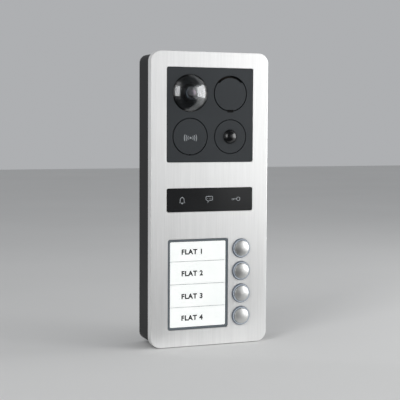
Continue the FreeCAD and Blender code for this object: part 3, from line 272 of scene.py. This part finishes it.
def plain_mesh(name, source, tree=None, identifiers=None, values=None):
    """Turns a text, or what a geometry node tree makes of a mesh or a curve, into a plain mesh."""
    holder = bpy.data.objects.new(name + "_source", source)
    bpy.context.scene.collection.objects.link(holder)
    if tree:
        maker = holder.modifiers.new("maker", "NODES")
        maker.node_group = tree
        for label, value in values.items():
            maker[identifiers[label]] = value
    bpy.context.view_layer.update()
    depsgraph = bpy.context.evaluated_depsgraph_get()
    mesh = bpy.data.meshes.new_from_object(holder.evaluated_get(depsgraph), depsgraph=depsgraph)
    mesh.name = name
    bpy.data.objects.remove(holder)
    return mesh


def fit(name, mesh):
    """Makes a mesh a piece of the object, fixed to the panel."""
    piece = bpy.data.objects.new(name, mesh)
    bpy.context.scene.collection.objects.link(piece)
    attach(piece, "panel")
    return piece


def block(name, centre, size, edge_width, edge_steps, material):
    """The mesh of a rectangular block with softened edges, in its place."""
    form = bmesh.new()
    bmesh.ops.create_cube(form, size=1.0)
    for corner in form.verts:
        corner.co = tuple(middle + part * length for middle, part, length in zip(centre, corner.co, size))
    bmesh.ops.bevel(form, geom=list(form.edges), offset=edge_width, segments=edge_steps, profile=0.5,
                    affect="EDGES")
    mesh = bpy.data.meshes.new(name)
    form.to_mesh(mesh)
    form.free()
    mesh.materials.append(material)
    return mesh


def front_middle(name):
    """The x and z of the middle of one of the frame's pieces, as seen from the front."""
    low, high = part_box(name)
    return (low.x + high.x) / 2, (low.z + high.z) / 2


# Rows of small parts stand on the module board's back, soldered in straight lines by machine: chip
# resistors with tinned ends, and two control chips with their legs. One set of geometry nodes lays them.
row_tree, row_inputs, given = open_tree("soldered_rows", {
    "Columns": "Int", "Rows": "Int", "Field width": "Float", "Field height": "Float", "Part size": "Vector",
    "Centre": "Vector", "Share fitted": "Float", "Seed": "Int", "Finish": "Material"})
field = add(row_tree, "GeometryNodeMeshGrid", {}, [
    ("Vertices X", given, "Columns"), ("Vertices Y", given, "Rows"), ("Size X", given, "Field width"),
    ("Size Y", given, "Field height")])
raised = add(row_tree, "GeometryNodeTransform", {"Rotation": (math.pi / 2, 0.0, 0.0)},
             [("Geometry", field, "Mesh"), ("Translation", given, "Centre")])
fitted = add(row_tree, "FunctionNodeRandomValue", {"data_type": "BOOLEAN"},
             [("Probability", given, "Share fitted"), ("Seed", given, "Seed")])
part_form = add(row_tree, "GeometryNodeMeshCube", {}, [("Size", given, "Part size")])
set_out = add(row_tree, "GeometryNodeInstanceOnPoints", {},
              [("Points", raised, "Geometry"), ("Instance", part_form, "Mesh"), ("Selection", fitted, 3)])
close_tree(row_tree, set_out, "Instances", given, "Finish")


def solder(name, material, centre, counts, field, size, share=1.0, seed=1):
    """Lays one field of small parts on the module board and leaves it as a plain mesh."""
    values = {"Columns": counts[0], "Rows": counts[1], "Field width": field[0], "Field height": field[1],
              "Part size": size, "Centre": centre, "Share fitted": share, "Seed": seed, "Finish": material}
    fit(name, plain_mesh(name, bpy.data.meshes.new(name + "_field"), row_tree, row_inputs, values))


moulded_epoxy = moulded("moulded_black_epoxy", "#121214", "#1C1C1E", rough=0.5, grain_mm=0.4, depth_mm=0.01)
tinned = moulded("tinned_copper", "#B9BCBF", "#D2D4D6", rough=0.3, grain_mm=0.5, depth_mm=0.01,
                 more={"Metallic": 1.0})
board_x, board_z = front_middle("module_board")
board_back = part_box("module_board")[1].y
resistor, resistor_end = (0.0014, 0.0005, 0.0009), (0.0003, 0.00054, 0.00095)
column_pitch, row_pitch, end_offset, share_fitted = 0.0034, 0.0028, 0.00085, 0.72
resistor_y = board_back + 0.00023
for name, x, z, columns, rows, seed in (("left", -0.019, 0.016, 7, 6, 4), ("right", 0.019, -0.012, 8, 5, 9)):
    counts = (columns, rows)
    field = ((columns - 1) * column_pitch, (rows - 1) * row_pitch)
    solder("resistors_" + name, moulded_epoxy, (board_x + x, resistor_y, board_z + z),
           counts, field, resistor, share_fitted, seed)
    for letter, side in (("a", -end_offset), ("b", end_offset)):
        solder("resistor_ends_%s_%s" % (name, letter), tinned,
               (board_x + x + side, resistor_y, board_z + z), counts, field, resistor_end, share_fitted, seed)

chip_thick, stand_off, chip_edge = 0.0012, 0.0002, 0.00025
leg, leg_pitch, leg_spread, leg_run = (0.0014, 0.0003, 0.0004), 0.0008, 0.001, 0.82
for name, x, z, side in (("control_chip", 0.02, 0.017, 0.01), ("sound_chip", -0.018, -0.016, 0.007)):
    chip_x, chip_z = board_x + x, board_z + z
    solder(name + "_legs", tinned, (chip_x, board_back + stand_off, chip_z),
           (2, int(side / leg_pitch)), (side + leg_spread, side * leg_run), leg)
    chip_at = (chip_x, board_back + stand_off + chip_thick / 2, chip_z)
    chip = block(name, chip_at, (side, chip_thick, side), chip_edge, 2, moulded_epoxy)
    fit(name, chip)

# ---------------------------------------------------------------- door relay, terminals and board link
# The relay is a glass-filled PBT box, the terminal block a green polyamide moulding, and the link
# between the boards a pair of black connector bodies.
filled_pbt = moulded("moulded_black_pbt", "#141416", "#1D1D20", rough=0.42, grain_mm=0.6, depth_mm=0.02)
dress(filled_pbt, "door_relay", "board_link", "button_switches")
green_polyamide = moulded("moulded_green_polyamide", "#2B7B4B", "#348656", rough=0.4, grain_mm=0.7,
                          depth_mm=0.02)
dress(green_polyamide, "terminal_block")

# ---------------------------------------------------------------- screws, nuts and hooks
# The cover hangs on two hooks, nuts hold its inner parts to it and screws hold the boards. All are plated
# with zinc: bright, faintly blue, with the cloudy patches that the plating bath leaves.
zinc_plate, tree, shader = finish("zinc_plated_steel", {"Metallic": 1.0})
mottle(tree, shader, "#A9AFB6", "#CDD0D2", patch_mm=2.222, detail=4.0, rough=(0.24, 0.42))
dress(zinc_plate, "cover_hooks", "cover_nuts", "board_screws", "motion_sensor", "microphone")

# The lock screws and the button springs are bright stainless steel, drawn smooth along their length.
stainless, tree, shader = finish("drawn_stainless_steel", {"Metallic": 1.0})
mottle(tree, shader, "#BFBEBA", "#D6D5D2", patch_mm=0.6667, detail=2.0, rough=(0.16, 0.3))
dress(stainless, "lock_screws")

# ---------------------------------------------------------------- front cover
# A thick aluminium front, brushed from top to bottom and then anodised clear. The brushing leaves
# short upright lines that differ in brightness, and the clear oxide layer scatters part of the light,
# so the metal stays pale whatever it mirrors.
brushed, tree, shader = finish("brushed_anodised_aluminium", {"Metallic": 0.62})
place = add(tree, "ShaderNodeTexCoord", {})
# The abrasive leaves lines about 0.1 mm wide and 30 mm long; they are drawn 0.45 mm wide to show. Paler
# and darker bands, each of many lines, run between them.
line_mm, line_length_mm, band_mm, band_length_mm = 0.4545, 29.41, 2.381, 111.1
line_share, band_share = 0.6, 0.4
comb = add(tree, "ShaderNodeMapping", {"Scale": (1000 / line_mm, 1000 / line_mm, 1000 / line_length_mm)},
           [("Vector", place, "Object")])
lines = add(tree, "ShaderNodeTexNoise", {"Scale": 1.0, "Detail": 3.0, "Roughness": 0.6},
            [("Vector", comb, "Vector")])
wide = add(tree, "ShaderNodeMapping", {"Scale": (1000 / band_mm, 1000 / band_mm, 1000 / band_length_mm)},
           [("Vector", place, "Object")])
bands = add(tree, "ShaderNodeTexNoise", {"Scale": 1.0, "Detail": 2.0}, [("Vector", wide, "Vector")])
part = add(tree, "ShaderNodeMath", {"operation": "MULTIPLY", 1: band_share}, [(0, bands, "Fac")])
both = add(tree, "ShaderNodeMath", {"operation": "MULTIPLY_ADD", 1: line_share},
           [(0, lines, "Fac"), (2, part, "Value")])
spread = add(tree, "ShaderNodeMapRange", {"From Min": 0.3, "From Max": 0.7}, [("Value", both, "Value")])
colour = add(tree, "ShaderNodeMix", {"data_type": "RGBA", 6: linear("#ECECEB"), 7: linear("#F8F8F7")},
             [(0, spread, "Result")])
sheen = add(tree, "ShaderNodeMapRange", {"To Min": 0.3, "To Max": 0.42}, [("Value", spread, "Result")])
relief = add(tree, "ShaderNodeBump", {"Distance": 0.00002, "Strength": 0.5}, [("Height", lines, "Fac")])
tree.links.new(colour.outputs[2], shader.inputs["Base Color"])
tree.links.new(sheen.outputs[0], shader.inputs["Roughness"])
tree.links.new(relief.outputs[0], shader.inputs["Normal"])
dress(brushed, "front_cover")

# ---------------------------------------------------------------- module plate and its three flat discs
# One moulded plate and three discs that are turned into it, all of fine-grained black-grey ABS with a
# dead matt face, so the gaps between them read as thin dark rings.
matt_abs = moulded("moulded_matt_abs", "#272A2D", "#2E3235", rough=0.5, grain_mm=0.4, depth_mm=0.02)
dress(matt_abs, "module_carrier", "speaker_disc", "reader_disc", "motion_disc")

# ---------------------------------------------------------------- loudspeaker
# Behind the module's upper right disc stand a pressed steel basket, a cone of dark paper pulp and a
# ceramic magnet with a ground, dull face.
paper_pulp = moulded("pressed_paper_pulp", "#241F1B", "#3A332D", rough=0.88, grain_mm=0.7, depth_mm=0.08)
dress(paper_pulp, "speaker_cone")
ceramic_ferrite = moulded("ground_ceramic_ferrite", "#2C2C2E", "#3C3C3F", rough=0.55, grain_mm=0.5,
                          depth_mm=0.02)
dress(ceramic_ferrite, "speaker_magnet")
coated_steel = moulded("black_coated_pressed_steel", "#0E0E0F", "#161617", rough=0.5, grain_mm=0.8,
                       depth_mm=0.02)
dress(coated_steel, "speaker_basket")

# A near-black block with softened corners sits in the drain notch below the disc. It is painted shade: it
# stands in for the dark opening behind the notch.
painted_shade_black = moulded("painted_notch_shade", "#050505", "#0B0B0B", rough=0.95, grain_mm=0.5, depth_mm=0.15)
shade_width, shade_thick, shade_height, shade_edge = 0.0061, 0.0026, 0.0025, 0.00035
below_middle, behind_face = 0.0167, 0.0004
disc_x, disc_z = front_middle("speaker_disc")
disc_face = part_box("speaker_disc")[0].y
shade_at = (disc_x, disc_face + behind_face + shade_thick / 2, disc_z - below_middle)
notch_shade_block = block("painted_drain_notch_shade", shade_at, (shade_width, shade_thick, shade_height), shade_edge, 3, painted_shade_black)
fit("painted_drain_notch_shade", notch_shade_block)

# ---------------------------------------------------------------- card reader
# Behind the lower left disc a coil on its own board reads the card. It is lacquered copper wire in flat
# turns. Each turn is 0.18 mm wide; they are drawn at 0.4 mm.
def off_axis(tree, name):
    """A node that gives the distance from the front-to-back axis of one of the frame's round pieces."""
    middle_x, middle_z = front_middle(name)
    place = add(tree, "ShaderNodeTexCoord", {})
    centred = add(tree, "ShaderNodeMapping", {"Location": (-middle_x, 0.0, -middle_z)},
                  [("Vector", place, "Object")])
    flattened = add(tree, "ShaderNodeMapping", {"Scale": (1.0, 0.0, 1.0)}, [("Vector", centred, "Vector")])
    return add(tree, "ShaderNodeVectorMath", {"operation": "LENGTH"}, [(0, flattened, "Vector")])


enamelled_and_shaded, tree, shader = finish("lacquered_copper_wire_painted_light_and_shade", {"Metallic": 1.0, "Coat Weight": 0.5})
half_turn = 0.0002
away = off_axis(tree, "reader_coil")
turns = add(tree, "ShaderNodeMath", {"operation": "PINGPONG", 1: half_turn}, [(0, away, "Value")])
height = add(tree, "ShaderNodeMapRange", {"From Max": half_turn}, [("Value", turns, "Value")])
# Each turn is paler on its crown and darker towards the grooves between turns: painted light and painted
# shade, laid over the relief.
colour = add(tree, "ShaderNodeMix", {"data_type": "RGBA", 6: linear("#7A3B1C"), 7: linear("#C9743F")},
             [(0, height, "Result")])
sheen = add(tree, "ShaderNodeMapRange", {"To Min": 0.4, "To Max": 0.22}, [("Value", height, "Result")])
relief = add(tree, "ShaderNodeBump", {"Distance": 0.0001}, [("Height", height, "Result")])
tree.links.new(colour.outputs[2], shader.inputs["Base Color"])
tree.links.new(sheen.outputs[0], shader.inputs["Roughness"])
tree.links.new(relief.outputs[0], shader.inputs["Normal"])
dress(enamelled_and_shaded, "reader_coil")

# The disc carries the usual mark for a contactless reader, printed in light grey: a dot between pairs
# of upright arcs. The lines follow curves and are laid on by one set of geometry nodes.
print_tree, print_inputs, given = open_tree("printed_lines", {
    "Line width": "Float", "Ink thickness": "Float", "Ink": "Material"})
half_width = add(print_tree, "ShaderNodeMath", {"operation": "MULTIPLY", 1: 0.5}, [(0, given, "Line width")])
nib = add(print_tree, "GeometryNodeCurvePrimitiveCircle", {"Resolution": 12},
          [("Radius", half_width, "Value")])
drawn = add(print_tree, "GeometryNodeCurveToMesh", {"Fill Caps": True},
            [("Curve", given, "Geometry"), ("Profile Curve", nib, "Curve")])
flatness = add(print_tree, "ShaderNodeMath", {"operation": "DIVIDE"},
               [(0, given, "Ink thickness"), (1, given, "Line width")])
squeeze = add(print_tree, "ShaderNodeCombineXYZ", {"X": 1.0, "Z": 1.0}, [("Y", flatness, "Value")])
flat = add(print_tree, "GeometryNodeTransform", {},
           [("Geometry", drawn, "Mesh"), ("Scale", squeeze, "Vector")])
close_tree(print_tree, flat, "Geometry", given, "Ink")

# The ink is a light grey two-part screen ink, dull and very slightly uneven.
screen_ink = moulded("light_grey_screen_ink", "#B4B9BD", "#C6CACD", rough=0.6, grain_mm=0.6, depth_mm=0.005)
ink_thickness = 0.00006


def printed(name, strokes, centre, face_y, line_width, ink=screen_ink):
    """Prints strokes, lists of (x, z) in metres about centre and whether they close, on an upright face."""
    curve = bpy.data.curves.new(name, "CURVE")
    curve.dimensions = "3D"
    for points, closed in strokes:
        line = curve.splines.new("POLY")
        line.points.add(len(points) - 1)
        for point, (x, z) in zip(line.points, points):
            point.co = (x, 0.0, z, 1.0)
        line.use_cyclic_u = closed
    values = {"Line width": line_width, "Ink thickness": ink_thickness, "Ink": ink}
    mesh = plain_mesh(name, curve, print_tree, print_inputs, values)
    mesh.transform(Matrix.Translation((centre[0], face_y, centre[1])))
    fit(name, mesh)


def arc(x, z, radius, first, last, count):
    """Points along an arc, angles in degrees from +x towards +z."""
    angles = [math.radians(first + (last - first) * i / (count - 1)) for i in range(count)]
    return [(x + radius * math.cos(a), z + radius * math.sin(a)) for a in angles]


dot_radius, mark_right, mark_below, mark_line = 0.0007, 0.0003, 0.0012, 0.00038
waves = [(arc(0.0, 0.0, dot_radius, 0, 330, 12), True)]
for side in (0, 180):
    for radius, half_angle in ((0.0027, 36), (0.0045, 34), (0.0063, 29)):
        waves.append((arc(0.0, 0.0, radius, side - half_angle, side + half_angle, 12), False))
disc_x, disc_z = front_middle("reader_disc")
mark_at = (disc_x + mark_right, disc_z - mark_below)
printed("reader_mark", waves, mark_at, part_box("reader_disc")[0].y, mark_line)

# ---------------------------------------------------------------- motion sensor
# A small domed lens of black polyethylene, polished in its mould, over a canned sensor. A flange behind
# the lower right disc holds it.
pir_lens, tree, shader = finish("polished_black_polyethylene", {
    "IOR": 1.51, "Coat Weight": 0.3, "Coat Roughness": 0.1})
mottle(tree, shader, "#0C0D0E", "#141517", patch_mm=6.25, detail=2.0, rough=(0.2, 0.27))
dress(pir_lens, "motion_lens")

# ---------------------------------------------------------------- camera
# A clear polycarbonate dome covers a black mask and the ball that carries the lens. The dome is hard
# coated, and the coat adds a soft reflection of its own to the clear one.
dome_clear, tree, shader = finish("hard_coated_clear_polycarbonate", {
    "IOR": 1.586, "Transmission Weight": 1.0, "Coat Weight": 0.6, "Coat IOR": 1.6, "Coat Roughness": 0.24})
mottle(tree, shader, "#DDE2E6", "#E8ECEF", patch_mm=11.11, detail=2.0, rough=(0.05, 0.1))
dress(dome_clear, "camera_dome")
# The mask, pan ring and ball are black glass-filled nylon with a blasted, matt face.
black_nylon = moulded("blasted_black_nylon", "#060607", "#0C0D0E", rough=0.45, grain_mm=0.5, depth_mm=0.02)
dress(black_nylon, "camera_socket", "camera_pan_ring", "camera_ball")
# The ring that holds the lens is turned from aluminium and anodised black, so its edges catch light.
black_anodised = moulded("turned_black_anodised_aluminium", "#3A3D41", "#474A4F", rough=0.3, grain_mm=0.3,
                         depth_mm=0.01, more={"Metallic": 0.7})
dress(black_anodised, "camera_lens_ring")
# The lens is coated optical glass, deep and dark, with a violet glint.
coated_glass, tree, shader = finish("coated_optical_glass", {
    "IOR": 1.52, "Transmission Weight": 0.35, "Roughness": 0.02, "Coat Weight": 1.0, "Coat Roughness": 0.02,
    "Thin Film Thickness": 520.0, "Thin Film IOR": 1.38})
mottle(tree, shader, "#0B0C12", "#15161D", patch_mm=3.333, detail=2.0)
dress(coated_glass, "camera_lens")

# ---------------------------------------------------------------- indicator strip
# A smoked acrylic window, polished like glass, in front of a white light box with three cells. The
# signs on it are printed: a bell, a speech bubble and a key.
smoked_acrylic, tree, shader = finish("smoked_cast_acrylic", {"IOR": 1.49, "Specular IOR Level": 0.4})
ripple = mottle(tree, shader, "#0B0C0D", "#101113", patch_mm=16.67, detail=1.0, rough=(0.1, 0.16))
relief = add(tree, "ShaderNodeBump", {"Distance": 0.00004, "Strength": 0.4}, [("Height", ripple, "Fac")])
tree.links.new(relief.outputs[0], shader.inputs["Normal"])
dress(smoked_acrylic, "indicator_window")

# The bell has flanks that flare to its lip, a round crown, a clapper below and a hanger on top.
flank = [(0.002, 0.0004), (0.0021, -0.0014), (0.0027, -0.0024)]
crown = arc(0.0, 0.0006, 0.002, 175, 5, 12)
clapper = arc(0.0, -0.0025, 0.0009, 190, 350, 8)
hanger = [(0.0, 0.0026), (0.0, 0.0034)]
bell = [([(-x, z) for x, z in reversed(flank)] + crown + flank, True), (clapper, False), (hanger, False)]
# The bubble has four round corners, a tail at its lower left and three dots in it.
corner_x, upper_z, lower_z, corner_radius = 0.0024, 0.0022, 0.0004, 0.001
dot_gap, dot_half, dot_z = 0.0017, 0.0002, 0.0013
tail = [(0.0002, -0.0006), (-0.0017, -0.0028), (-0.0014, -0.0006)]
outline = arc(corner_x, upper_z, corner_radius, 90, 0, 5) + arc(corner_x, lower_z, corner_radius, 0, -90, 5)
outline += tail + arc(-corner_x, lower_z, corner_radius, 270, 180, 5)
outline += arc(-corner_x, upper_z, corner_radius, 180, 90, 5)
bubble = [(outline, True)]
for x in (-dot_gap, 0.0, dot_gap):
    bubble.append(([(x - dot_half, dot_z), (x + dot_half, dot_z)], False))
# The key has a round bow, a shank that turns down at its end, and one more tooth.
bow = arc(0.0025, 0.0, 0.0017, 195, 525, 16)
shank = [(0.0008, 0.0), (-0.0041, 0.0), (-0.0041, -0.0012)]
tooth = [(-0.0026, 0.0), (-0.0026, -0.001)]
key = [(bow, True), (shank, False), (tooth, False)]
strip_x, strip_z = front_middle("indicator_window")
strip_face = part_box("indicator_window")[0].y
sign_line = 0.00034
for name, strokes, x, z in (("sign_bell", bell, -0.0285, -0.0001), ("sign_speech", bubble, -0.0007, 0.0),
                            ("sign_key", key, 0.0271, 0.0002)):
    printed(name, strokes, (strip_x + x, strip_z + z), strip_face, sign_line)

# The light boxes, the diffuser and the lamps' bodies are opal or white mouldings that scatter light.
opal = moulded("moulded_opal_acrylic", "#E9EBEA", "#F4F5F3", rough=0.4, grain_mm=0.9, depth_mm=0.01)
dress(opal, "indicator_light_box", "label_light_box", "label_diffuser")
led_resin = moulded("cast_led_resin", "#EFE9C9", "#F6F1DA", rough=0.3, grain_mm=0.5, depth_mm=0.01)
dress(led_resin, "backlight_leds")

# ---------------------------------------------------------------- inner frame
# The plate that clamps window, name panel and rings to the cover, moulded like the housing. Nuts on the
# cover's welded studs hold it.
dress(moulded_asa, "inner_frame")

# ---------------------------------------------------------------- name panel
# A satin grey frame, moulded in ABS, round a window of clear cast acrylic. Behind it lie four strips of
# white film, lit from behind through a diffuser.
satin_abs = moulded("satin_moulded_grey_abs", "#565D62", "#656C71", rough=0.3, grain_mm=0.7, depth_mm=0.01)
dress(satin_abs, "name_frame")
clear_acrylic, tree, shader = finish("clear_cast_acrylic", {"IOR": 1.49, "Transmission Weight": 1.0})
mottle(tree, shader, "#F7FAFA", "#FFFFFF", patch_mm=14.29, detail=1.0, rough=(0.0, 0.02))
dress(clear_acrylic, "name_window")

# The film is given a faint glow of its own: painted light, standing in for the lamps that shine through the
# diffuser behind it.
glowing_label_film, tree, shader = finish("white_polyester_film_painted_glow", {
    "IOR": 1.6, "Roughness": 0.6, "Emission Color": linear("#FFFFFF"), "Emission Strength": 0.33})
mottle(tree, shader, "#F1F2F1", "#F9FAF9", patch_mm=1.111, detail=3.0)
dress(glowing_label_film, *("name_label_%d" % i for i in (1, 2, 3, 4)))

# Each strip is printed with its flat's number in dark grey toner.
toner = moulded("dark_grey_toner", "#2C2D2E", "#38393A", rough=0.6, grain_mm=0.6, depth_mm=0.005)
letter_size, letter_spacing, letter_weight, toner_depth = 0.0067, 1.12, 0.0003, 0.00002
indent, lift_off, below_middle, weld = 0.0125, 0.00004, 0.003, 0.000002
for i in (1, 2, 3, 4):
    words = bpy.data.curves.new("label_text_%d" % i, "FONT")
    words.body = "FLAT %d" % i
    words.size = letter_size
    words.space_character = letter_spacing
    words.extrude = toner_depth
    words.offset = letter_weight
    mesh = plain_mesh("label_text_%d" % i, words)
    strip_low, strip_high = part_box("name_label_%d" % i)
    baseline = (strip_low.z + strip_high.z) / 2 - below_middle
    mesh.transform(Matrix.Translation((strip_low.x + indent, strip_low.y - lift_off, baseline))
                   @ Matrix.Rotation(math.pi / 2, 4, "X"))
    # The letters' faces and edges come apart from each other, so they are joined up and turned outwards.
    letters = bmesh.new()
    letters.from_mesh(mesh)
    bmesh.ops.remove_doubles(letters, verts=letters.verts, dist=weld)
    bmesh.ops.recalc_face_normals(letters, faces=letters.faces)
    letters.to_mesh(mesh)
    letters.free()
    mesh.materials.clear()
    mesh.materials.append(toner)
    fit("label_text_%d" % i, mesh)

# Three fine grey lines are drawn where the strips meet: painted shade for the gaps between them.
painted_seam_shade = moulded("painted_seam_shade_grey", "#8F9395", "#9DA1A3", rough=0.6, grain_mm=0.6, depth_mm=0.005)
seam_inset, seam_lift, seam_line = 0.001, 0.00002, 0.0004
seams = []
for i in (1, 2, 3):
    upper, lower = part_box("name_label_%d" % i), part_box("name_label_%d" % (i + 1))
    seam_z = (upper[0].z + lower[1].z) / 2
    seams.append(([(upper[0].x + seam_inset, seam_z), (upper[1].x - seam_inset, seam_z)], False))
printed("label_seams", seams, (0.0, 0.0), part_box("name_label_1")[0].y - seam_lift, seam_line, painted_seam_shade)

# ---------------------------------------------------------------- call buttons
# Each cap is drawn from brass, satin nickel plated, and slides in a clear ring that is lit from behind.
# It travels 1.2 mm against a coil spring.
satin_nickel, tree, shader = finish("satin_nickel_plate", {"Metallic": 1.0})
mottle(tree, shader, "#CECFCE", "#DEDEDC", patch_mm=0.4, detail=2.0, rough=(0.42, 0.5))
dress(satin_nickel, *("button_cap_%d" % i for i in (1, 2, 3, 4)))
# The ring is clear polycarbonate. Its sloping outer wall is painted dark and blue, painted shade for the
# light that the wall throws inwards, and its polished flat top is painted pale with a faint glow, painted
# light for the lamp behind it.
painted_shade_start, painted_shade_end = 0.00845, 0.0087
for i in (1, 2, 3, 4):
    lit_and_shaded_ring, tree, shader = finish("clear_polycarbonate_ring_%d" % i, {
        "IOR": 1.586, "Transmission Weight": 0.45, "Emission Color": linear("#DCE8F6"),
        "Emission Strength": 0.05})
    away = off_axis(tree, "button_ring_%d" % i)
    painted_shade_slope = add(tree, "ShaderNodeMapRange", {"From Min": painted_shade_start, "From Max": painted_shade_end},
                [("Value", away, "Value")])
    # Pale on the flat top, dark blue on the slope: painted light and painted shade.
    colour = add(tree, "ShaderNodeMix", {"data_type": "RGBA", 6: linear("#E3EBF4"), 7: linear("#4F5866")},
                 [(0, painted_shade_slope, "Result")])
    haze = add(tree, "ShaderNodeMapRange", {"To Min": 0.06, "To Max": 0.2}, [("Value", painted_shade_slope, "Result")])
    tree.links.new(colour.outputs[2], shader.inputs["Base Color"])
    tree.links.new(haze.outputs[0], shader.inputs["Roughness"])
    dress(lit_and_shaded_ring, "button_ring_%d" % i)

# Behind each cap a coil spring of stainless wire stands on the switch's face. Its coils follow a helix laid
# by geometry nodes.
coil_tree, coil_inputs, given = open_tree("coiled_wire", {
    "Turns": "Float", "Coil radius": "Float", "Rise": "Float", "Wire radius": "Float", "Seat": "Vector",
    "Wire": "Material"})
helix = add(coil_tree, "GeometryNodeCurveSpiral", {"Resolution": 24}, [
    ("Rotations", given, "Turns"), ("Start Radius", given, "Coil radius"),
    ("End Radius", given, "Coil radius"), ("Height", given, "Rise")])
gauge = add(coil_tree, "GeometryNodeCurvePrimitiveCircle", {"Resolution": 12},
            [("Radius", given, "Wire radius")])
wound = add(coil_tree, "GeometryNodeCurveToMesh", {"Fill Caps": True},
            [("Curve", helix, "Curve"), ("Profile Curve", gauge, "Curve")])
laid = add(coil_tree, "GeometryNodeTransform", {"Rotation": (-math.pi / 2, 0.0, 0.0)},
           [("Geometry", wound, "Mesh"), ("Translation", given, "Seat")])
close_tree(coil_tree, laid, "Geometry", given, "Wire")

turns, coil_radius, wire_radius, press_travel = 5.0, 0.0032, 0.00028, 0.0012
for i in (1, 2, 3, 4):
    spring_lo, spring_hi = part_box("button_spring_%d" % i)
    axis_x, axis_z = front_middle("button_cap_%d" % i)
    spring_length = spring_hi.y - spring_lo.y
    values = {"Turns": turns, "Coil radius": coil_radius, "Rise": spring_length - 2 * wire_radius,
              "Wire radius": wire_radius, "Wire": stainless,
              "Seat": (axis_x, spring_lo.y + wire_radius, axis_z)}
    name = "call_spring_%d" % i
    mesh = plain_mesh(name, bpy.data.meshes.new(name + "_blank"), coil_tree, coil_inputs, values)
    mesh.shade_smooth()
    spring = fit(name, mesh)
    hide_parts("button_spring_%d" % i)
    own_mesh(spring)
